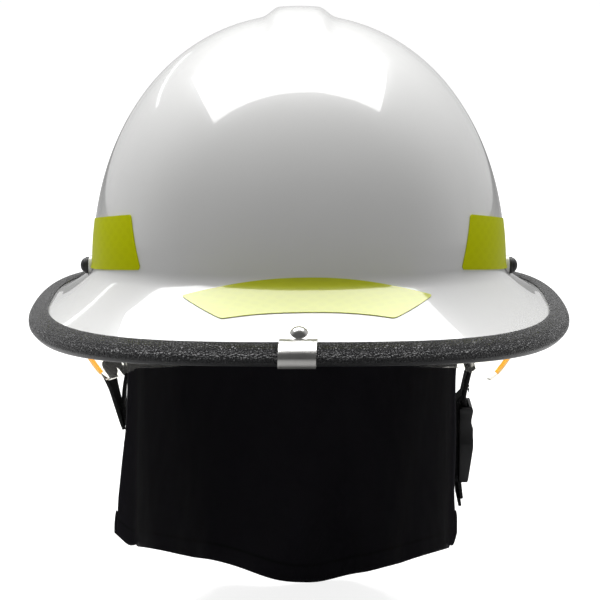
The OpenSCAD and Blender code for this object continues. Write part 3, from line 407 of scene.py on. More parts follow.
def ribbon(name, points, wides, width, wall, steps=6, across=4):
    """A woven strap along a smooth line, with rounded selvedges"""
    selvedge = 0.32
    line = curve_through(points, steps)
    wide = curve_through(wides, steps)
    last = len(line) - 1
    run = sum((line[i + 1] - line[i]).length for i in range(last))
    ways = [(line[min(i + 1, last)] - line[max(i - 1, 0)]).normalized() for i in range(last + 1)]

    def place(along, up):
        i = min(last, round(along * last))
        normal = ways[i].cross(wide[i]).normalized()
        side = normal.cross(ways[i]).normalized()
        return line[i] + side * (up - 0.5) * width

    piece = patch(name, last, across, place, size=(run, width))
    thickened(piece, wall, use_even_offset=True)
    rounded(piece, selvedge * wall)
    shade(piece, 50)
    return piece


def stitches(name, line, pitch, thread, span):
    """Short threads laid end to end along a line, all one mesh"""
    select_none()
    bpy.ops.mesh.primitive_ico_sphere_add(subdivisions=1, radius=1.0)
    model = bpy.context.object
    points = []
    faces = []
    walked = 0.0
    for start, end in zip(line, line[1:]):
        stretch = (end - start).length
        while walked < stretch:
            centre = start.lerp(end, walked / stretch)
            turn = (end - start).to_track_quat("X", "Z").to_matrix().to_4x4()
            shape = Matrix.Translation(centre) @ turn @ Matrix.Diagonal((span / 2, thread, thread, 1))
            first = len(points)
            points += [shape @ vertex.co for vertex in model.data.vertices]
            faces += [[first + i for i in polygon.vertices] for polygon in model.data.polygons]
            walked += pitch
        walked -= stretch
    bpy.data.objects.remove(model)
    mesh = bpy.data.meshes.new(name)
    mesh.from_pydata(points, [], faces)
    piece = bpy.data.objects.new(name, mesh)
    bpy.context.scene.collection.objects.link(piece)
    shade(piece, 80)
    return piece


def spot_key(spot):
    """A place as three rounded numbers, by which a value is found again"""
    return tuple(round(value, 7) for value in spot)


def set_attribute(piece, name, values):
    """Gives each point a number that a finish reads, from a table by place"""
    layer = piece.data.attributes.new(name, "FLOAT", "POINT")
    for vertex in piece.data.vertices:
        layer.data[vertex.index].value = values.get(spot_key(vertex.co), 0.0)


def inflated(piece, cap, held):
    """Swells a closed cover with cloth under pressure, no point by more than the cap. Points for which
    held is true stay sewn down"""
    pressure = 4.0
    steps = 20
    rest = [vertex.co.copy() for vertex in piece.data.vertices]
    group = piece.vertex_groups.new(name="sewn")
    group.add([i for i, place in enumerate(rest) if held(place)], 1.0, "REPLACE")
    cloth = piece.modifiers.new("Cloth", "CLOTH")
    cloth.settings.use_pressure = True
    cloth.settings.uniform_pressure_force = pressure
    cloth.settings.vertex_group_mass = "sewn"
    cloth.settings.effector_weights.gravity = 0
    cloth.settings.quality = 5
    cloth.settings.mass = 0.2
    for step in range(steps):
        bpy.context.scene.frame_set(step + 1)
    graph = bpy.context.evaluated_depsgraph_get()
    swollen = [vertex.co.copy() for vertex in piece.evaluated_get(graph).data.vertices]
    piece.modifiers.remove(cloth)
    bpy.context.scene.frame_set(1)
    for vertex, start, end in zip(piece.data.vertices, rest, swollen):
        move = end - start
        vertex.co = start + move * min(1.0, cap / max(move.length, 1e-9))
    finish_modifier(piece, "SUBSURF", levels=1, render_levels=1)
    shade(piece, 80)
    return piece


# Finishes

class Finish:
    """A material in the making: its shader and the nodes that feed it"""

    def __init__(self, name, base, roughness, **sockets):
        self.material = bpy.data.materials.new(name)
        self.material.use_nodes = True
        self.tree = self.material.node_tree
        self.shader = self.tree.nodes["Principled BSDF"]
        self.shader.inputs["Base Color"].default_value = (*base, 1)
        self.shader.inputs["Roughness"].default_value = roughness
        for socket, value in sockets.items():
            self.shader.inputs[socket.replace("_", " ")].default_value = value
        self.base = tuple(base)

    def add(self, kind, sockets, **settings):
        """A node with its settings; a socket takes a value or another node's output"""
        made = self.tree.nodes.new("ShaderNode" + kind)
        for name, value in settings.items():
            setattr(made, name, value)
        for socket, value in sockets.items():
            if isinstance(value, bpy.types.NodeSocket):
                self.tree.links.new(value, made.inputs[socket])
            else:
                made.inputs[socket].default_value = value
        return made

    def where(self, source="Object", scale=(1, 1, 1), turn=(0, 0, 0)):
        start = self.add("TexCoord", {}).outputs[source]
        return self.add("Mapping", {"Vector": start, "Scale": scale, "Rotation": turn}).outputs[0]

    def noise(self, scale, detail=2.0, where=None):
        where = where or self.where()
        made = self.add("TexNoise", {"Vector": where, "Scale": scale, "Detail": detail})
        return made.outputs["Fac"]

    def cells(self, scale, feature="F1", where=None, jitter=1.0):
        where = where or self.where()
        sockets = {"Vector": where, "Scale": scale, "Randomness": jitter}
        made = self.add("TexVoronoi", sockets, feature=feature)
        return made.outputs["Distance"]

    def maths(self, operation, first, second=0.0):
        return self.add("Math", {0: first, 1: second}, operation=operation).outputs[0]

    def wave(self, value, pitch):
        """A sine wave with its pitch in metres"""
        return self.maths("SINE", self.maths("MULTIPLY", value, 2 * math.pi / pitch))

    def ranged(self, value, low, high, to_low=0.0, to_high=1.0):
        sockets = {"Value": value, "From Min": low, "From Max": high, "To Min": to_low, "To Max": to_high}
        return self.add("MapRange", sockets).outputs[0]

    def attribute(self, name):
        return self.add("Attribute", {}, attribute_name=name).outputs["Fac"]

    def bump(self, height, distance, strength=1.0):
        """Adds relief, on top of any relief that is there"""
        normal = self.shader.inputs["Normal"]
        sockets = {"Height": height, "Distance": distance, "Strength": strength}
        if normal.is_linked:
            sockets["Normal"] = normal.links[0].from_socket
        self.tree.links.new(self.add("Bump", sockets).outputs[0], normal)

    def tint(self, share, other):
        """Runs the base colour to another one by a share"""
        colour_in = self.shader.inputs["Base Color"]
        first = colour_in.links[0].from_socket if colour_in.is_linked else (*self.base, 1)
        made = self.add("Mix", {0: share, 6: first, 7: (*other, 1)}, data_type="RGBA")
        self.tree.links.new(made.outputs[2], colour_in)

    def roughen(self, share, low, high):
        self.tree.links.new(self.ranged(share, 0.0, 1.0, low, high), self.shader.inputs["Roughness"])


def toned(base, share):
    return tuple(value * share for value in base)


def shell_finish(colours):
    """Glossy moulded thermoplastic with a faint orange peel and light wear"""
    made = Finish("glossy_white", colours.shell, 0.22, Coat_Weight=1.0, Coat_Roughness=0.015, Coat_IOR=1.6)
    made.tint(made.ranged(made.noise(9.0, 4.0), 0.35, 0.75, 0.0, 1.0), toned(colours.shell, 0.965))
    made.roughen(made.noise(240.0, 4.0), 0.16, 0.30)
    made.bump(made.noise(70.0, 1.0), 0.02 * MM)
    return made.material


def trim_finish(colours):
    """Wrinkled rubber moulding with a smooth lower lip. On the pebbled face the pebbles' tops are painted
    lighter as a highlight and the grooves darker as shade
    """
    made = Finish("pebbled_black", colours.trim, 0.3, Specular_IOR_Level=0.6)
    grain = made.attribute("grain")
    drift = made.add("TexNoise", {"Vector": made.where(), "Scale": 380.0, "Detail": 2.0}).outputs["Color"]
    warp = 1.6 * MM
    bent = made.add("VectorMath", {0: drift, 1: (warp, warp, warp), 2: made.where()},
                    operation="MULTIPLY_ADD").outputs[0]
    grooves = made.cells(640.0, "DISTANCE_TO_EDGE", bent)
    pillows = made.ranged(grooves, 0.0, 0.30)
    fine = made.noise(2600.0, 2.0)
    relief = made.maths("ADD", pillows, made.maths("MULTIPLY", fine, 0.15))
    made.bump(made.maths("MULTIPLY", relief, grain), 1.0 * MM)
    # Painted highlight: on the upper face the pebbles' tops are tinted lighter, standing in for glints
    wear_and_highlight = made.ranged(grooves, 0.05, 0.35, 0.0, 0.7)
    made.tint(made.maths("MULTIPLY", wear_and_highlight, grain), (0.042, 0.042, 0.046))
    # Painted shade: the grooves between the pebbles are tinted near black
    groove_shade = made.ranged(grooves, 0.0, 0.07, 0.9, 0.0)
    made.tint(made.maths("MULTIPLY", groove_shade, grain), (0.004, 0.004, 0.005))
    made.roughen(made.noise(400.0, 3.0), 0.16, 0.30)
    return made.material


def steel_finish(colours):
    """Stainless sheet and wire with a fine brushed grain"""
    made = Finish("satin_stainless", colours.steel, 0.2, Metallic=1.0)
    brushed = made.noise(1.0, 4.0, made.where("Object", (300, 5000, 5000)))
    made.bump(brushed, 0.012 * MM)
    made.roughen(made.noise(150.0, 3.0), 0.14, 0.3)
    made.tint(made.ranged(made.noise(60.0, 5.0), 0.45, 0.8, 0.0, 0.6), toned(colours.steel, 0.78))
    return made.material


def strip_finish(colours, name="reflective_lime", gloss=0.03):
    """Prismatic film: fine diamond cells under a clear face"""
    made = Finish(name, colours.strip, 0.35, Coat_Weight=gloss, Coat_Roughness=0.03, Coat_IOR=1.6,
                  Specular_IOR_Level=0.5 * gloss)
    ridges = []
    for turn in (math.radians(60), math.radians(-60)):
        waves = made.add("TexWave", {"Vector": made.where("UV", turn=(0, 0, turn)), "Scale": 55.0},
                         wave_profile="TRI")
        ridges.append(waves.outputs["Fac"])
    lattice = made.maths("MULTIPLY", *ridges)
    made.tint(made.ranged(lattice, 0.0, 0.5, 0.0, 0.35), toned(colours.strip, 0.9))
    made.bump(lattice, 0.012 * MM)
    return made.material


def foam_finish(colours):
    """Moulded bead foam, with painted shade in the hollows between the beads"""
    made = Finish("moulded_foam", colours.foam, 0.85)
    beads = made.cells(290.0, "F1")
    made.bump(made.maths("MULTIPLY", beads, -1.0), 0.35 * MM)
    # Painted shade: the hollows between the beads are tinted darker
    made.tint(made.ranged(beads, 0.2, 0.7), toned(colours.foam, 0.55))
    made.bump(made.noise(1400.0, 2.0), 0.05 * MM)
    return made.material


def nylon_finish(colours):
    """Moulded nylon with a fine sparked texture and rubbed edges"""
    made = Finish("moulded_nylon", colours.nylon, 0.42)
    made.bump(made.noise(1900.0, 2.0), 0.035 * MM)
    made.roughen(made.noise(90.0, 4.0), 0.34, 0.55)
    wear_and_highlight = made.add("NewGeometry", {}).outputs["Pointiness"]
    made.tint(made.ranged(wear_and_highlight, 0.53, 0.62, 0.0, 0.5), (0.09, 0.09, 0.095))
    return made.material


def webbing_finish(name, base, ribs):
    """Woven strap: chevrons along the run, from the strap's own map in metres, with painted shade in the
    weave's hollows
    """
    made = Finish(name, base, 0.72, Sheen_Weight=0.18, Sheen_Roughness=0.4)
    parts = made.add("SeparateXYZ", {0: made.where("UV")})
    herring = made.maths("PINGPONG", parts.outputs["Y"], 3.2 * MM)
    slant = made.maths("ADD", parts.outputs["X"], herring)
    weave = made.wave(slant, ribs)
    ends = made.wave(parts.outputs["Y"], 0.55 * ribs)
    relief = made.maths("ADD", weave, made.maths("MULTIPLY", ends, 0.6))
    made.bump(relief, 0.11 * MM)
    # Painted shade: the hollows of the weave are tinted darker
    made.tint(made.ranged(relief, -1.2, 0.6, 0.75, 0.0), toned(base, 0.42))
    made.tint(made.ranged(made.noise(45.0, 4.0), 0.5, 0.85, 0.0, 0.5), toned(base, 1.5))
    return made.material


def padding_finish(colours):
    """Soft knitted cover, with painted shade in the knit's hollows"""
    made = Finish("knitted_cover", colours.padding, 0.92, Sheen_Weight=0.3, Sheen_Roughness=0.5)
    knit = made.cells(1150.0, "F1", made.where("Object", (1.0, 1.0, 1.35)), 0.35)
    made.bump(made.maths("MULTIPLY", knit, -1.0), 0.18 * MM)
    # Painted shade: the hollows of the knit are tinted darker
    made.tint(made.ranged(knit, 0.25, 0.6, 0.0, 0.8), toned(colours.padding, 0.4))
    made.tint(made.ranged(made.noise(70.0, 3.0), 0.5, 0.8, 0.0, 0.4), toned(colours.padding, 1.7))
    return made.material


def lens_finish(colours):
    """Clear moulded lens with a painted amber glow at its outer corners"""
    made = Finish("clear_lens", colours.lens, 0.03, Transmission_Weight=1.0, IOR=1.06, Coat_Weight=0.25)
    # Painted glow: where the amber attribute is set, the colour runs towards the rim's glowing amber
    made.tint(made.maths("MULTIPLY", made.attribute("amber"), 0.35), colours.lens_rim_glow)
    made.bump(made.noise(30.0, 1.0), 0.02 * MM)
    return made.material


def lens_rim_finish(colours):
    """Cut edge of the lens: a painted amber glow, which gives off light though it is no lamp"""
    made = Finish("lens_rim_glow", colours.lens_rim_glow, 0.25, Transmission_Weight=0.1, IOR=1.45,
                  Emission_Strength=0.3)
    # Painted glow: the rim emits amber light
    made.shader.inputs["Emission Color"].default_value = (*colours.lens_rim_glow, 1)
    made.roughen(made.noise(500.0, 3.0), 0.15, 0.4)
    made.tint(made.ranged(made.noise(120.0, 3.0), 0.4, 0.8, 0.0, 0.5), (0.95, 0.55, 0.05))
    return made.material


def curtain_finish(colours):
    """Dense twill with a faint sheen and painted shade in the weave's hollows"""
    made = Finish("twill_cloth", colours.curtain, 0.88, Sheen_Weight=0.12, Sheen_Roughness=0.4)
    parts = made.add("SeparateXYZ", {0: made.where("UV")})
    slant = made.maths("ADD", parts.outputs["X"], parts.outputs["Y"])
    twill = made.wave(slant, 1.15 * MM)
    yarn = made.wave(parts.outputs["X"], 0.55 * MM)
    relief = made.maths("ADD", twill, made.maths("MULTIPLY", yarn, 0.5))
    made.bump(relief, 0.06 * MM)
    # Painted shade: the hollows of the twill are tinted darker
    made.tint(made.ranged(relief, -1.5, 1.5, 0.5, 0.0), toned(colours.curtain, 0.5))
    seam_rise = 11.2 * MM
    seam = made.maths("ABSOLUTE", made.maths("SUBTRACT", parts.outputs["Y"], seam_rise))
    made.tint(made.ranged(seam, 0.0, 1.6 * MM, 0.9, 0.0), toned(colours.curtain, 0.2))
    made.tint(made.ranged(made.noise(22.0, 5.0), 0.45, 0.85, 0.0, 0.5), (0.010, 0.008, 0.013))
    made.bump(made.noise(40.0, 3.0), 0.3 * MM)
    return made.material


FINISHES = {}


def finish_for(node):
    """The finish of a node's slot, made once"""
    slot = SLOTS[node]
    makers = {
        "shell_white": shell_finish, "trim_black": trim_finish, "reflective_lime": strip_finish,
        "stainless": steel_finish, "ring_steel": steel_finish, "foam_grey": foam_finish,
        "pad_cloth": padding_finish, "lens_clear": lens_finish, "curtain_navy": curtain_finish,
        "crown_web": lambda colours: webbing_finish("golden_webbing", colours.crown, 2.0 * MM),
        "web_black": lambda colours: webbing_finish("black_webbing", colours.webbing, 1.8 * MM),
    }
    if slot not in FINISHES:
        FINISHES[slot] = makers.get(slot, nylon_finish)(bpy.context.scene.helmet_colours)
    return FINISHES[slot]


# Operators: one for each piece or group of like pieces

class HELMET_OT_shell(bpy.types.Operator):
    """Models the shell with its crown ridge"""
    bl_idname = "helmet.shell"
    bl_label = "Shell"

    def execute(self, context):
        form = ShellForm(context.scene.helmet_shell)
        sizes = form.sizes
        turns = 240
        outer = [form.column(360 * i / turns, 0) for i in range(turns)]
        inner = [form.column(360 * i / turns, sizes.wall)[::-1] for i in range(turns)]
        columns = [first + second for first, second in zip(outer, inner)]
        crown = len(outer[0])
        last = len(columns[0]) - 1

        def place(along, up):
            column = columns[round(along * turns) % turns]
            row = round(up * last)
            spot = column[row]
            return spot + Vector((0, 0, self.ridge(sizes, spot))) if row < crown else spot

        piece = patch("shell", turns, last, place)
        merge_points(piece, gap=2e-6)
        shade(piece, 50)
        dressed(piece, "outer_shell")
        self.pivot_seats()
        return {"FINISHED"}

    def ridge(self, sizes, spot):
        """Height of the crown ridge over a place on the dome"""
        middle = 4 * MM
        reach = 96 * MM
        along = min(1.0, abs(spot.y - middle) / reach)
        foot = sizes.ridge_foot / 2
        shoulder = 0.46 * foot
        across = smooth((foot - abs(spot.x)) / shoulder)
        ends = (1 - along ** 2) ** 2 if spot.y < middle else 1 - along ** 4
        return sizes.ridge_rise * ends * across

    def pivot_seats(self):
        """Round bosses in the shell's sides, on which the visor's bolts seat"""
        radius = 5.4 * MM
        depth = 7.3 * MM
        out = 111.55 * MM
        for side in (-1, 1):
            select_none()
            bpy.ops.mesh.primitive_cylinder_add(vertices=48, radius=radius, depth=depth,
                                                location=(side * out, PIVOT.y, PIVOT.z),
                                                rotation=(0, math.pi / 2, 0))
            seat = bpy.context.object
            seat.name = "pivot_seat_" + ("right" if side > 0 else "left")
            bpy.ops.object.transform_apply(location=True, rotation=True, scale=True)
            rounded(seat, 0.5 * MM, angle=30, segments=3)
            shade(seat)
            added(seat, "outer_shell")


def trim_section(form, turn):
    """The trim's section in the brim's own frame, from its top lip round the nose to its lower lip"""
    sizes = form.sizes
    lip = -sizes.trim_lip
    nose = sizes.trim_nose
    wall = sizes.wall
    fit = 0.3 * MM
    d = form.dish(1 - sizes.trim_lip / form.span(turn))
    low = form.trim_under + form.trim_sag * math.sin(math.radians(turn)) ** 2
    top = form.trim_top
    return [Vector((x, y, 0)) for x, y in (
        (lip, fit - d), (lip - 0.2 * MM, 1.2 * MM - d), (lip + 1.5 * MM, top - d), (-2 * MM, top + fit),
        (2 * MM, 2 * MM), (0.85 * nose, 0.4 * MM), (nose, -1.8 * MM), (0.78 * nose, -0.75 * low),
        (0.26 * nose, -low), (-3 * MM, -low - fit), (lip + 1.5 * MM, fit - low - d),
        (lip - 0.2 * MM, -wall - 1.4 * MM - d), (lip, -wall - fit - d))]


class HELMET_OT_trim(bpy.types.Operator):
    """Models the moulding round the brim's edge"""
    bl_idname = "helmet.trim"
    bl_label = "Edge trim"

    def execute(self, context):
        form = ShellForm(context.scene.helmet_shell)
        wall = form.sizes.wall
        fit = 0.3 * MM
        turns = 360
        steps = 5
        channel = [Vector((fit, -wall - fit, 0)), Vector((fit, fit, 0))]
        nose_row = 6 * steps
        rings = []
        for i in range(turns):
            turn = 360 * i / turns
            section = curve_through(trim_section(form, turn), steps) + channel
            edge, out, up = form.edge(turn), form.outwards(turn), form.upwards(turn)
            rings.append([edge + out * p.x + up * p.y for p in section])
        count = len(rings[0])
        grain = {}

        def place(along, up):
            row = round(up * count) % count
            spot = rings[round(along * turns) % turns][row]
            # grain is one on the pebbled upper face and none on the smooth lower lip; it carries the
            # pebbles' bump and their painted highlight and shade
            grain[spot_key(spot)] = smooth((nose_row + 1 - row) / 4)
            return spot

        piece = patch("trim", turns, count, place)
        merge_points(piece)
        set_attribute(piece, "grain", grain)
        shade(piece, 60)
        dressed(piece, "edge_trim")
        return {"FINISHED"}


class HELMET_OT_clip(bpy.types.Operator):
    """Models the steel clip that holds the trim's ends, with its screw"""
    bl_idname = "helmet.clip"
    bl_label = "Front clip"

    def execute(self, context):
        form = ShellForm(context.scene.helmet_shell)
        sizes = form.sizes
        wall = 1 * MM
        lift = 0.3 * MM + wall / 2
        reach = 23 * MM
        screw_back = 16.6 * MM
        skew = math.tan(math.radians(3))
        lip = -sizes.trim_lip
        nose = sizes.trim_nose
        low = form.trim_under
        top = form.trim_top

        def dish_at(back):
            return form.dish(1 - back / form.span(0))

        d = dish_at(sizes.trim_lip)
        ramp = 2.6 * MM
        path = [(-reach, lift - dish_at(reach)), (-screw_back, lift - dish_at(screw_back)),
                (lip - ramp, lift - dish_at(sizes.trim_lip + ramp)),
                (lip - 0.6 * MM, 1.3 * MM - d + 0.6 * lift), (lip + 1.2 * MM, top - d + 0.95 * lift),
                (lip + 3.6 * MM, top - 0.35 * d + lift), (-2 * MM, top + 0.2 * MM + lift),
                (2.3 * MM, 2.1 * MM + 0.9 * lift),
                (0.85 * nose + 0.8 * lift, 0.5 * MM + 0.6 * lift), (nose + lift, -1.8 * MM),
                (0.78 * nose + 0.9 * lift, -4.3 * MM - 0.4 * lift), (0.26 * nose + 0.4 * lift, -low - lift),
                (-4 * MM, -low - 0.35 * MM - lift)]
        line = curve_through([Vector((x, y, 0)) for x, y in path], 6)
        edge, out, up = form.edge(0), form.outwards(0), form.upwards(0)
        half = sizes.clip_width / 2
        end_flat = 0.2 * MM
        last = len(line) - 1
        runs = [0.0]
        for a, b in zip(line, line[1:]):
            runs.append(runs[-1] + (b - a).length)

        def place(along, across):
            i = round(along * last)
            back = max(0.0, half - runs[i] - end_flat)
            wide = math.sqrt(max(0.0, half * half - back * back))
            aside = (across - 0.5) * 2 * wide - skew * (line[i].x + screw_back)
            return edge + out * line[i].x + up * line[i].y + Vector((aside, 0, 0))

        piece = patch("clip_strap", last, 14, place, size=(runs[-1], sizes.clip_width))
        edited(piece, (bpy.ops.mesh.remove_doubles, {"threshold": 1e-6}))
        thickened(piece, wall, use_even_offset=True)
        rounded(piece, 0.22 * MM, 50)
        shade(piece, 45)
        dressed(piece, "front_clip")
        softened("front_clip_screw", width=0.35 * MM, angle=50)
        softened("front_clip_nut", width=0.3 * MM)
        return {"FINISHED"}


class HELMET_OT_strips(bpy.types.Operator):
    """Lays the reflective strips on the shell"""
    bl_idname = "helmet.strips"
    bl_label = "Reflective strips"

    def execute(self, context):
        form = ShellForm(context.scene.helmet_shell)
        sizes = form.sizes
        half = sizes.strip_length / 2
        plan_half = sizes.dome_width / 2 + 14 * MM
        plan_power = 1.1

        def turn_at(x):
            """The turn at which the brim's inner part has a place across"""
            return math.copysign(math.degrees(math.asin((abs(x) / plan_half) ** plan_power)), x)

        shift = 4.5 * MM
        short_half = 0.61 * half
        low = (turn_at(shift - short_half), turn_at(shift + short_half), 20 * MM, 5.5 * MM, 0)
        high = (turn_at(shift - half), turn_at(shift + half), -3 * MM, 13 * MM, 0)
        front = self.strip(form, "strip_front", low, high, (sizes.strip_length, sizes.strip_height), 36)
        glossy = strip_finish(context.scene.helmet_colours, "reflective_lime_gloss", gloss=1.0)
        dressed(front, "reflective_front", glossy)
        foot = -2.5 * MM
        head = foot - sizes.strip_height
        lean = 6
        spans = {"strip_side_1": (46.6, 91, 5 * MM), "strip_side_2": (269, 315.2, -5 * MM),
                 "strip_side_3": (112, 151, 0), "strip_side_4": (209, 248, 0), "strip_rear": (160, 200, 0)}
        size = (90 * MM, sizes.strip_height)
        for name, (first, last, tilt) in spans.items():
            low = (first, last, foot, 0, tilt)
            high = (first + lean, last - lean, head, 0, tilt)
            piece = self.strip(form, name, low, high, size, 30)
            if name in ("strip_side_1", "strip_rear"):
                dressed(piece, "reflective_sides" if name == "strip_side_1" else "reflective_rear")
            else:
                added(piece, "reflective_sides")
        return {"FINISHED"}

    def strip(self, form, name, low, high, size, cols):
        """A film between its lower and upper edge. Each edge has its first and last turn, its run from the
        junction, the extra run at both ends, and its tilt"""
        lift = 0.5 * MM

        def place(along, up):
            first, last, run, ends, tilt = (mix(a, b, up) for a, b in zip(low, high))
            bow = 4 * (along - 0.5) ** 2
            return form.face(mix(first, last, along), run + ends * bow + tilt * (along - 0.5), lift)

        piece = patch(name, cols, 14, place, size=size, corner=2.2 * MM)
        thickened(piece, lift, offset=-1.0)
        shade(piece, 50)
        return piece


class HELMET_OT_lens(bpy.types.Operator):
    """Models the visor's lens with its edge painted amber as a glow"""
    bl_idname = "helmet.lens"
    bl_label = "Visor lens"

    def execute(self, context):
        radius = 110 * MM
        wall = 2.2 * MM
        reach = 68
        flare = 0.19
        amber_from = 53
        amber_rows = 0.075
        glow_from = 0.3
        # amber: how much painted glow each point takes, on the lowest rows of the outer corners
        amber = {}

        def top(q):
            """The upper edge's rise in degrees, at a bearing: high in the middle, low at the arms"""
            return 52 - 38 * smooth((abs(q) - 26) / 34)

        def low(q):
            """The lower edge's rise: a notch over the nose, a long fall and a dip at each corner"""
            away = abs(q)
            notch = 13.7 * smooth(1.6 - away / 7.5)
            fall = 22.5 * (away / 50) ** 2.8
            dip = 15 * smooth((away - 47) / 6) * (1 - 0.75 * smooth((away - 56) / 12))
            return -18.7 + notch - fall - dip

        def place(along, up):
            q = mix(-reach, reach, along)
            lift = mix(low(q), top(q), up)
            out = math.sin(math.radians(q)) * (1 + flare * smooth((-26 - lift) / 34))
            c = math.cos(math.radians(q))
            tip = math.radians(lift)
            spot = PIVOT + radius * Vector((out, -c * math.cos(tip), c * math.sin(tip)))
            amber[spot_key(spot)] = smooth((abs(q) - amber_from) / 6) if up < amber_rows else 0.0
            return spot

        piece = patch("lens", 132, 30, place, size=(260 * MM, 130 * MM), corner=7 * MM)
        set_attribute(piece, "amber", amber)
        piece.data.materials.append(finish_for("visor_lens"))
        piece.data.materials.append(lens_rim_finish(context.scene.helmet_colours))
        thickened(piece, wall, offset=-1.0, material_offset_rim=1)
        # Faces that are all painted glow take the glowing rim finish
        glow = piece.data.attributes["amber"].data
        for polygon in piece.data.polygons:
            polygon.material_index = int(min(glow[i].value for i in polygon.vertices) > glow_from)
        shade(piece, 45)
        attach(piece, "visor")
        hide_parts("visor_lens")
        return {"FINISHED"}


class HELMET_OT_cap(bpy.types.Operator):
    """Models the foam cap inside the shell"""
    bl_idname = "helmet.cap"
    bl_label = "Impact cap"

    def execute(self, context):
        plan = (96 * MM, 98 * MM, 124 * MM)
        height = 112 * MM
        wall = 12 * MM
        turns = 144
        rows = 30
        grooves = 10
        groove_depth = 1.2 * MM

        def place(along, up):
            turn = 360 * along
            inside = up < 0.5
            lat = 90 * (up * 2 if inside else 2 - up * 2)
            inset = 0.0
            if inside:
                across = smooth(5 * math.cos(math.radians(turn * grooves)) - 3.6)
                inset = wall - groove_depth * across * smooth((lat - 25) / 10) * smooth((86 - lat) / 6)
            spot = oval(turn, *(side - inset for side in plan), 2) * math.sin(math.radians(lat))
            spot.z = (height - inset) * math.cos(math.radians(lat))
            return spot

        piece = patch("foam_cap", turns, 2 * rows, place)
        merge_points(piece, gap=2e-6)
        self.cut_key_slots(piece)
        rounded(piece, 0.8 * MM)
        shade(piece, 50)
        dressed(piece, "impact_cap")
        softened("cap_spacers", width=0.8 * MM, angle=50)
        return {"FINISHED"}

    def cut_key_slots(self, piece):
        """Slots in the cap's rim for the crown straps' keys"""
        low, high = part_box("strap_keys")
        size = (4.2 * MM, 16.8 * MM, 10.8 * MM)
        out = 2.3 * MM
        for turn in STRAP_TURNS + tuple(turn + 180 for turn in STRAP_TURNS):
            spot = oval(turn, *STRAP_PLAN, 2)
            bearing = math.atan2(spot.y, spot.x)
            select_none()
            bpy.ops.mesh.primitive_cube_add(size=1.0)
            cutter = bpy.context.object
            cutter.data.transform(Matrix.Diagonal((*size, 1)))
            cutter.data.transform(Matrix.Translation((out, 0, 0)))
            cutter.data.transform(Matrix.Rotation(bearing, 4, "Z"))
            cutter.data.transform(Matrix.Translation((spot.x, spot.y, (low[2] + high[2]) / 2)))
            finish_modifier(piece, "BOOLEAN", object=cutter, operation="DIFFERENCE", solver="EXACT")
            bpy.data.objects.remove(cutter)


class HELMET_OT_crown_straps(bpy.types.Operator):
    """Models the three straps that carry the crown"""
    bl_idname = "helmet.crown_straps"
    bl_label = "Crown straps"

    def execute(self, context):
        sizes = context.scene.helmet_soft
        lowest = 84 * MM
        step = 3.4 * MM
        last_tilt = 84
        names = ("crown_strap_long", "crown_strap_left", "crown_strap_right")
        for index, (node, turn) in enumerate(zip(names, STRAP_TURNS)):
            height = lowest + index * step
            near = oval(turn, *STRAP_PLAN, 2)
            far = oval(turn + 180, *STRAP_PLAN, 2)
            points = []
            for tilt in range(-last_tilt, last_tilt + 1, 12):
                lean = math.radians(tilt)
                spot = (near if tilt > 0 else far) * abs(math.sin(lean))
                spot.z = height * math.cos(lean)
                points.append(spot)
            way = (near - far).normalized()
            wide = Vector((-way.y, way.x, 0))
            piece = ribbon(node + "_web", points, [wide] * len(points), sizes.crown_width, sizes.crown_wall)
            dressed(piece, node)
            self.stitched(node, points, wide, sizes)
        return {"FINISHED"}

    def stitched(self, node, points, wide, sizes):
        """Two bars of stitches at each end of a strap, on its inner face"""
        bars = []
        half = 0.38 * sizes.crown_width
        for end in (points[1], points[-2]):
            inwards = Vector((-end.x, -end.y, 0)).normalized() * (sizes.crown_wall / 2 + 0.1 * MM)
            for rise in (-3 * MM, 3 * MM):
                start = end + inwards + Vector((0, 0, rise)) - wide * half
                bars.append([start, start + wide * 2 * half])
        for number, stretch in enumerate(bars):
            piece = stitches(f"{node}_thread_{number}", stretch, 2.2 * MM, 0.35 * MM, 1.9 * MM)
            added(piece, node, finish_for("neck_curtain"))


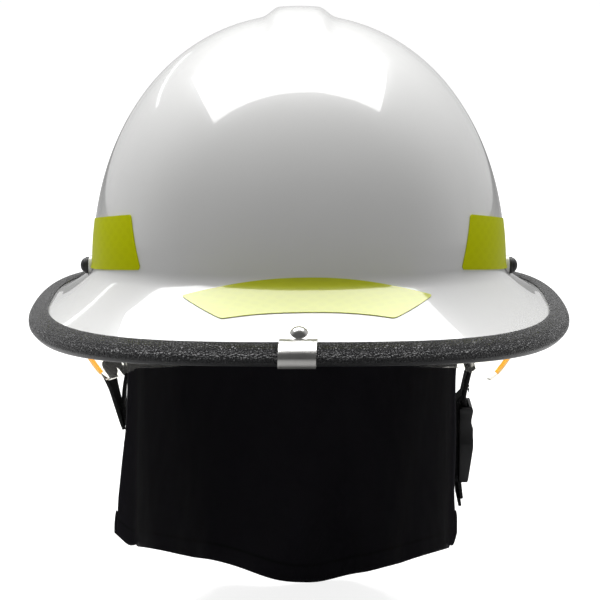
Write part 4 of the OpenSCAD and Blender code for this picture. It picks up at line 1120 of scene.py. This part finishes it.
class HELMET_OT_pads(bpy.types.Operator):
    """Models the crown, brow and nape pads as sewn covers that swell"""
    bl_idname = "helmet.pads"
    bl_label = "Pads"

    def execute(self, context):
        self.brow_pad()
        self.nape_pad()
        self.crown_pad()
        return {"FINISHED"}

    def brow_pad(self):
        wall = 4 * MM
        inset = 2.1 * MM
        reach = 78
        band = (79 * MM, 88 * MM, 97 * MM)
        band_power = 2.6
        seam_depth = 6 * MM
        seam_hold = 5 * MM
        low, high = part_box("brow_pad")
        middle = (low[2] + high[2]) / 2
        half_height = (high[2] - low[2]) / 2
        around = 20
        cols = 120
        seams = 8
        seam_sharpness = 16
        squareness = 0.5

        def place(along, up):
            turn = mix(-reach, reach, along)
            ends = smooth(min(along, 1 - along) * 24)
            lean = 2 * math.pi * up
            seam = math.cos(math.pi * seams * along) ** seam_sharpness
            swell = 0.8 - 0.45 * seam
            deep = signed_power(math.cos(lean), squareness) * wall / 2 * mix(0.35, 1, ends) * swell
            rise = signed_power(math.sin(lean), squareness) * half_height * mix(0.82, 1, ends)
            move = inset + wall / 2 + deep
            spot = oval(turn, *(side - move for side in band), band_power)
            spot.z = middle + rise
            return spot

        piece = patch("brow_pad_cover", cols, around, place, size=(230 * MM, 60 * MM))
        merge_points(piece)
        close_ends(piece)
        sewn = [oval(mix(-reach, reach, k / seams), *(side - seam_depth for side in band), band_power)
                for k in range(1, seams)]
        inflated(piece, 0.5 * MM,
                 lambda spot: any(math.hypot(spot.x - s.x, spot.y - s.y) < seam_hold for s in sewn))
        dressed(piece, "brow_pad")

    def nape_pad(self):
        low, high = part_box("nape_pad")
        middle = [(a + b) / 2 for a, b in zip(low, high)]
        half = [(b - a) / 2 for a, b in zip(low, high)]
        slack_wide = 0.985
        slack_deep = 0.75

        def place(along, up):
            lean = 2 * math.pi * up
            side = 2 * along - 1
            ends = math.sqrt(max(0.06, 1 - abs(side) ** 6))
            x = side * half[0] * slack_wide
            y = signed_power(math.cos(lean), 0.6) * half[1] * slack_deep * ends
            z = signed_power(math.sin(lean), 0.55) * half[2] * mix(0.55, 1, ends)
            return Vector((middle[0] + x, middle[1] + y, middle[2] + z))

        piece = patch("nape_pad_cover", 36, 20, place, size=(42 * MM, 60 * MM))
        merge_points(piece)
        close_ends(piece)
        inflated(piece, 0.5 * MM, lambda spot: abs(spot.x) > 0.9 * half[0])
        dressed(piece, "nape_pad")

    def crown_pad(self):
        radius = 42 * MM
        foot = 70.8 * MM
        profile = curve_through([Vector((x * radius, z * MM, 0)) for x, z in (
            (0.0, 6.0), (0.5, 4.7), (0.8, 2.2), (0.96, 0.0), (1.0, -1.6), (0.95, -3.6), (0.8, -2.1),
            (0.5, 0.8), (0.0, 1.9))], 5)
        last = len(profile) - 1
        turns = 72
        petals = 6
        seam_depth = 1.4 * MM

        def place(along, up):
            turn = 2 * math.pi * along
            p = profile[round(up * last)]
            rise = p.y
            if up > 0.5:
                seam = math.cos(petals * turn / 2) ** 16
                rise += seam_depth * seam * smooth(p.x / (0.3 * radius))
            return Vector((p.x * math.cos(turn), p.x * math.sin(turn), foot + rise))

        piece = patch("crown_pad_cover", turns, last, place, size=(260 * MM, 90 * MM))
        merge_points(piece, gap=2e-6)

        def sewn(spot):
            turn = math.atan2(spot.y, spot.x)
            return abs(math.cos(petals * turn / 2)) > 0.985 or math.hypot(spot.x, spot.y) > 0.93 * radius

        inflated(piece, 0.45 * MM, sewn)
        dressed(piece, "crown_pad")


class HELMET_OT_chin_strap(bpy.types.Operator):
    """Models the chin strap's webbing and stitching"""
    bl_idname = "helmet.chin_strap"
    bl_label = "Chin strap"
    y = 31 * MM
    ring_foot = -59 * MM
    ring_x = 96 * MM
    along = Vector((0, 1, 0))

    def loop_points(self, side, wall):
        """The webbing's turn round the ring"""
        radius = 1.8 * MM + wall / 2
        leans = [math.radians(lean) for lean in range(-60, 241, 30)]
        return [Vector((side * (self.ring_x - radius * math.sin(lean)), self.y,
                        self.ring_foot + radius * math.cos(lean))) for lean in leans]

    def web(self, name, places, width, wall, node):
        """A straight-hanging stretch of webbing, through places across and up in millimetres"""
        points = [Vector((x * MM, self.y, z * MM)) for x, z in places]
        added(ribbon(name, points, [self.along] * len(points), width, wall), node)

    def execute(self, context):
        sizes = context.scene.helmet_soft
        width = sizes.web_width
        wall = sizes.web_wall
        left = "chin_strap_left"
        right = "chin_strap_right"
        for side, node in ((-1, left), (1, right)):
            loop = self.loop_points(side, wall)
            dressed(ribbon(node + "_loop", loop, [self.along] * len(loop), width, wall), node)
        run = ((-96.3, -61.2), (-98.2, -72), (-98.8, -82), (-97.8, -89.5), (-96.2, -95), (-96, -98),
               (-96, -115), (-96, -130))
        self.web("strap_left_run", run, width, wall, left)
        branch = ((-99.5, 29, -61.4), (-102.2, 26.4, -59.5), (-104.8, 24.2, -59.2), (-106.3, 23, -61),
                  (-106.3, 22.5, -63), (-104.4, 23, -70), (-102.2, 24.5, -79), (-100.4, 27, -86.5),
                  (-99.2, 30, -92.5))
        wides = ((0, 1, 0), (0.25, 0.95, 0), (0.5, 0.85, 0), (0.5, 0.85, 0), (0.35, 0.9, 0), (0.18, 0.95, 0),
                 (0.12, 1, 0), (0.08, 1, 0), (0, 1, 0))
        added(ribbon("strap_left_branch", [Vector(p) * MM for p in branch],
                     [Vector(w).normalized() for w in wides], width - 3 * MM, wall), left)
        run = ((96, -61.2), (94, -70), (92.6, -77.5), (93.2, -84), (93.5, -93.5))
        self.web("strap_right_run", run, width, 1.5 * wall, right)
        tail = ((92.4, -76.5), (90.5, -78.4), (89, -82), (88.7, -100), (88.8, -121), (89.3, -128),
                (90.1, -134), (91, -140))
        self.web("strap_right_tail", tail, width, wall, right)
        self.web("strap_right_end", ((89.8, -125.7), (90.4, -131), (91, -136)), width, 2 * wall, right)
        self.sewing(width)
        return {"FINISHED"}

    def sewing(self, width):
        """A sewn box with a cross under each ring, on the strap's outer face"""
        half = 0.36 * width
        tall = 9 * MM
        path = ((-1, 0), (1, 0), (1, 1), (-1, 1), (-1, 0), (1, 1), (1, 0), (-1, 1))
        for node, x, top in (("chin_strap_left", -98.6, -69.5), ("chin_strap_right", 95.5, -66)):
            corners = [Vector((x * MM, self.y + a * half, top * MM - b * tall)) for a, b in path]
            piece = stitches(node + "_thread", corners, 2.0 * MM, 0.28 * MM, 1.7 * MM)
            added(piece, node, finish_for("chin_slide"))


class HELMET_OT_mouldings(bpy.types.Operator):
    """Rounds the edges of the moulded and pressed parts, by a width in millimetres; wire has none"""
    bl_idname = "helmet.mouldings"
    bl_label = "Mouldings and fasteners"

    def execute(self, context):
        widths = {"headband": 0.5, "headband_hangers": 0.5, "strap_keys": 0.5, "headband_tail_left": 0.12,
                  "headband_tail_right": 0.12, "ratchet_housing": 0.5, "ratchet_cover": 0.6,
                  "ratchet_pinion": 0.1, "ratchet_knob": 0.5, "ratchet_screws": 0.2, "visor_arm_left": 0.3,
                  "visor_arm_right": 0.3, "visor_rivets": 0.3, "visor_pivot_bolts": 0.3,
                  "visor_washers": 0.15, "visor_nuts": 0.4, "chin_hangers": 0.35,
                  "chin_hanger_rivets": 0.3, "chin_slide": 0.5, "buckle_socket": 0.9, "buckle_plug": 0.6,
                  "buckle_button": 0.6, "hang_bracket": 0.25, "hang_bracket_rivets": 0.3, "hang_ring": 0,
                  "chin_ring_left": 0, "chin_ring_right": 0}
        for node, width in widths.items():
            softened(node, width=width * MM)
        return {"FINISHED"}


class CurtainForm:
    """The curtain's cloth: its plan under the cap, its drop and its folds"""
    centre = 25 * MM
    front = 9 * MM
    top = -3.3 * MM
    half = 90.4 * MM
    back = 94 * MM
    reach = 100
    squareness = 0.86
    foot_half_right = 84.2 * MM
    foot_half_left = 91.6 * MM

    def __init__(self, sizes):
        self.sizes = sizes

    def plan(self, bearing, half, flare):
        away = abs(bearing)
        if away <= 90:
            b = math.radians(bearing)
            return Vector((-half * signed_power(math.sin(b), self.squareness),
                           self.centre + self.back * signed_power(math.cos(b), self.squareness), 0))
        k = (away - 90) / 10
        return Vector((-math.copysign(half + flare * k ** 4, bearing),
                       self.centre - (self.centre - self.front) * k, 0))

    def drop(self, bearing):
        """The cloth's length at a bearing: longest behind, with its front corners rounded off"""
        side_from = 82
        round_from = 96
        blunt = 8
        away = math.hypot(bearing + 5 * max(0.0, math.cos(math.radians(bearing))), blunt) - blunt
        corner = 9 * MM * (max(0.0, abs(bearing) - round_from) / (self.reach - round_from)) ** 2
        corner += 4 * MM * smooth((abs(bearing) - side_from) / 12)
        behind = 1 - min(away, side_from) / side_from
        return mix(self.sizes.side_drop, self.sizes.back_drop, behind) - corner

    def swing(self, bearing, t):
        """How far the main folds stand out: each has a bearing at its top and foot, a width and a depth"""
        total = 0.0
        for start, end, width, depth in ((-34, 8, 10, -10), (-12, -16, 9, 6), (-78, -50, 12, -6),
                                         (34, 24, 12, 4), (70, 52, 14, -5), (12, 30, 8, 3)):
            u = (bearing - mix(start, end, t)) / width
            total += depth * MM * t * math.exp(-u * u)
        return total

    def creases(self, bearing, t):
        """Small creases and puckers along the hem"""
        spot = Vector((bearing * 0.045, t * 2.4, 0.0))
        soft = noise.fractal(spot, 0.9, 2.1, 3) * 1.1 * MM * smooth(t * 4)
        pucker = math.sin(math.radians(bearing * 17)) * 0.35 * MM * smooth((t - 0.85) / 0.1)
        return soft + pucker

    def place(self, bearing, t, lift=0.0):
        k = smooth(t * 2)
        if bearing <= 0:
            half = mix(self.half, self.foot_half_right, k)
            flare = mix(0.6, 2.4, k) * MM
        else:
            half = mix(self.half, self.foot_half_left, smooth(t * 1.4 - 0.3))
            flare = (mix(1, 5.2, k) + 5 * smooth(2 * t - 1)) * MM
        spot = self.plan(bearing, half, flare)
        out = Vector((spot.x, spot.y - self.centre + 12 * MM, 0)).normalized()
        spot += out * (self.swing(bearing, t) + self.creases(bearing, t) + lift)
        spot.z = self.top - t * self.drop(bearing)
        return spot


class HELMET_OT_curtain(bpy.types.Operator):
    """Hangs the neck curtain from its tape, with a sewn hem"""
    bl_idname = "helmet.curtain"
    bl_label = "Neck curtain"

    def execute(self, context):
        sizes = context.scene.helmet_soft
        form = CurtainForm(sizes)
        wall = sizes.cloth_wall
        flat = (sizes.cut_width, sizes.back_drop)
        hem_rise = 13 * MM
        cols = 220

        def cloth(along, up):
            return form.place(mix(form.reach, -form.reach, along), 1 - up)

        curtain = patch("curtain_cloth", cols, 96, cloth, size=flat)
        thickened(curtain, 0.8 * wall)
        rounded(curtain, 0.3 * wall)
        shade(curtain, 60)
        dressed(curtain, "neck_curtain")

        def hem(along, up):
            bearing = mix(form.reach, -form.reach, along)
            rise = 1 - hem_rise * up / form.drop(bearing)
            return form.place(bearing, rise, 0.62 * wall * (1 - 0.45 * up ** 6))

        fold = patch("curtain_hem", cols, 10, hem, size=(flat[0], hem_rise))
        thickened(fold, 0.5 * wall)
        shade(fold, 60)
        added(fold, "neck_curtain")
        seam = 1 - 0.86 * hem_rise / form.drop(0)
        last = 160
        line = [form.place(mix(form.reach - 1, 1 - form.reach, i / last), seam, 0.92 * wall)
                for i in range(last + 1)]
        thread = stitches("curtain_thread", line, 3.0 * MM, 0.3 * MM, 2.3 * MM)
        added(thread, "neck_curtain", finish_for("chin_strap_left"))
        self.tape(form)
        return {"FINISHED"}

    def tape(self, form):
        """The tape under the cap's rim that the curtain is sewn to"""
        low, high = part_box("curtain_tape")
        inner_edge = -4 * MM
        outer_edge = 2 * MM
        flare = 1 * MM

        def flat_tape(along, across):
            bearing = mix(form.reach, -form.reach, along)
            inner = form.plan(bearing, form.half + inner_edge, flare)
            outer = form.plan(bearing, form.half + outer_edge, flare)
            out = Vector((inner.x, inner.y - form.centre, 0)).normalized()
            behind = abs(math.cos(math.radians(min(90, abs(bearing)))))
            spot = inner.lerp(outer, across) + out * mix(inner_edge, outer_edge, across) * behind
            spot.z = (low[2] + high[2]) / 2
            return spot

        size = (form.sizes.cut_width, outer_edge - inner_edge)
        piece = patch("curtain_tape_web", 160, 5, flat_tape, size=size)
        thickened(piece, high[2] - low[2])
        rounded(piece, 0.5 * MM)
        shade(piece, 50)
        dressed(piece, "curtain_tape")


class HELMET_OT_stage(bpy.types.Operator):
    """Sets the floor, the lamps, the backdrop light and the camera"""
    bl_idname = "helmet.stage"
    bl_label = "Stage"

    def execute(self, context):
        self.floor()
        self.world()
        self.lamp("ceiling_softbox", place=(-0.13, 0.66, 1.5), turn=(0, 0, 4), size=(2.15, 1.7), power=54)
        self.lamp("rear_strip", place=(-1.1, 2.0, 0.8), turn=(-70, 22, 28), size=(1.2, 0.06), power=0.4)
        self.camera()
        context.scene.view_settings.view_transform = "Standard"
        return {"FINISHED"}

    def floor(self):
        """A pale floor that the camera sees near white and that keeps the helmet's shadow"""
        grey = 0.42
        glow_seen = 0.86
        select_none()
        bpy.ops.mesh.primitive_plane_add(size=12.0, location=(0, 0, solid_box[0][2] - 0.2 * MM))
        floor = bpy.context.object
        floor.name = "floor"
        material = bpy.data.materials.new("pale_floor")
        material.use_nodes = True
        tree = material.node_tree
        shader = tree.nodes["Principled BSDF"]
        shader.inputs["Base Color"].default_value = (grey, grey, grey, 1)
        shader.inputs["Roughness"].default_value = 0.9
        glow = self.stretch(tree, self.seen_directly(tree), (0.0, 1.0), 0.0, glow_seen)
        shader.inputs["Emission Color"].default_value = (1, 1, 1, 1)
        tree.links.new(glow, shader.inputs["Emission Strength"])
        floor.data.materials.append(material)

    def world(self):
        """A surround that is white for the camera and through glass. Reflections see it dark in front of
        the helmet and paler behind, and a dim even light falls from it"""
        mirrored_front = 0.10
        mirrored_back = 0.6
        even_light = 0.31
        world = bpy.data.worlds.new("surround")
        bpy.context.scene.world = world
        world.use_nodes = True
        tree = world.node_tree
        path = tree.nodes.new("ShaderNodeLightPath")
        way = tree.nodes.new("ShaderNodeTexCoord")
        parts = tree.nodes.new("ShaderNodeSeparateXYZ")
        tree.links.new(way.outputs["Generated"], parts.inputs[0])
        mirrored = self.stretch(tree, parts.outputs["Y"], (-0.35, 0.25), mirrored_front, mirrored_back)
        lighting = self.stretch(tree, path.outputs["Is Glossy Ray"], (0.0, 1.0), even_light, mirrored)
        strength = self.stretch(tree, self.seen_directly(tree), (0.0, 1.0), lighting, 1.0)
        back = tree.nodes["Background"]
        tree.links.new(strength, back.inputs["Strength"])
        back.inputs["Color"].default_value = (1, 1, 1, 1)

    def seen_directly(self, tree):
        """One for what the camera sees, also through the lens, and nothing for other light"""
        path = tree.nodes.new("ShaderNodeLightPath")
        seen = tree.nodes.new("ShaderNodeMath")
        seen.operation = "MAXIMUM"
        tree.links.new(path.outputs["Is Camera Ray"], seen.inputs[0])
        tree.links.new(path.outputs["Is Transmission Ray"], seen.inputs[1])
        return seen.outputs[0]

    def stretch(self, tree, value, span, low, high):
        """Carries a value from a span to another one, whose ends are numbers or outputs"""
        made = tree.nodes.new("ShaderNodeMapRange")
        made.inputs["From Min"].default_value, made.inputs["From Max"].default_value = span
        tree.links.new(value, made.inputs["Value"])
        for socket, end in (("To Min", low), ("To Max", high)):
            if isinstance(end, bpy.types.NodeSocket):
                tree.links.new(end, made.inputs[socket])
            else:
                made.inputs[socket].default_value = end
        return made.outputs[0]

    def lamp(self, name, place, turn, size, power):
        light = bpy.data.lights.new(name, "AREA")
        light.shape = "RECTANGLE"
        light.size, light.size_y = size
        light.energy = power
        lamp = bpy.data.objects.new(name, light)
        lamp.location = place
        lamp.rotation_euler = [math.radians(angle) for angle in turn]
        bpy.context.scene.collection.objects.link(lamp)

    def camera(self):
        """The photograph's view: from in front, a little above the crown, looking down"""
        distance = 1.5961
        height = 0.255
        pitch = 9.711
        lens = bpy.data.cameras.new("camera")
        lens.sensor_width = 36.0
        lens.lens = 176.35
        lens.shift_x = 1 / 600
        lens.clip_end = 50.0
        camera = bpy.data.objects.new("camera", lens)
        bpy.context.scene.collection.objects.link(camera)
        camera.location = (0, -distance, height)
        camera.rotation_euler = (math.radians(90 - pitch), 0, 0)
        bpy.context.scene.camera = camera


class HELMET_PT_panel(bpy.types.Panel):
    """Lists the helmet's pieces in the sidebar"""
    bl_idname = "HELMET_PT_panel"
    bl_label = "Fire helmet"
    bl_space_type = "VIEW_3D"
    bl_region_type = "UI"
    bl_category = "Helmet"

    def draw(self, context):
        column = self.layout.column()
        for operator in OPERATORS:
            column.operator(operator.bl_idname)
        for group in (context.scene.helmet_shell, context.scene.helmet_soft, context.scene.helmet_colours):
            for name in group.__annotations__:
                column.prop(group, name)


OPERATORS = (HELMET_OT_stage, HELMET_OT_shell, HELMET_OT_trim, HELMET_OT_clip, HELMET_OT_strips,
             HELMET_OT_lens, HELMET_OT_cap, HELMET_OT_crown_straps, HELMET_OT_pads, HELMET_OT_chin_strap,
             HELMET_OT_mouldings, HELMET_OT_curtain)
CLASSES = (HelmetShellSizes, HelmetSoftSizes, HelmetColours) + OPERATORS + (HELMET_PT_panel,)


def register():
    for item in CLASSES:
        bpy.utils.register_class(item)
    bpy.types.Scene.helmet_shell = PointerProperty(type=HelmetShellSizes)
    bpy.types.Scene.helmet_soft = PointerProperty(type=HelmetSoftSizes)
    bpy.types.Scene.helmet_colours = PointerProperty(type=HelmetColours)


def unregister():
    del bpy.types.Scene.helmet_shell
    del bpy.types.Scene.helmet_soft
    del bpy.types.Scene.helmet_colours
    for item in reversed(CLASSES):
        bpy.utils.unregister_class(item)


def main():
    register()
    for operator in OPERATORS:
        group, name = operator.bl_idname.split(".")
        getattr(getattr(bpy.ops, group), name)()


if __name__ == "__main__":
    main()
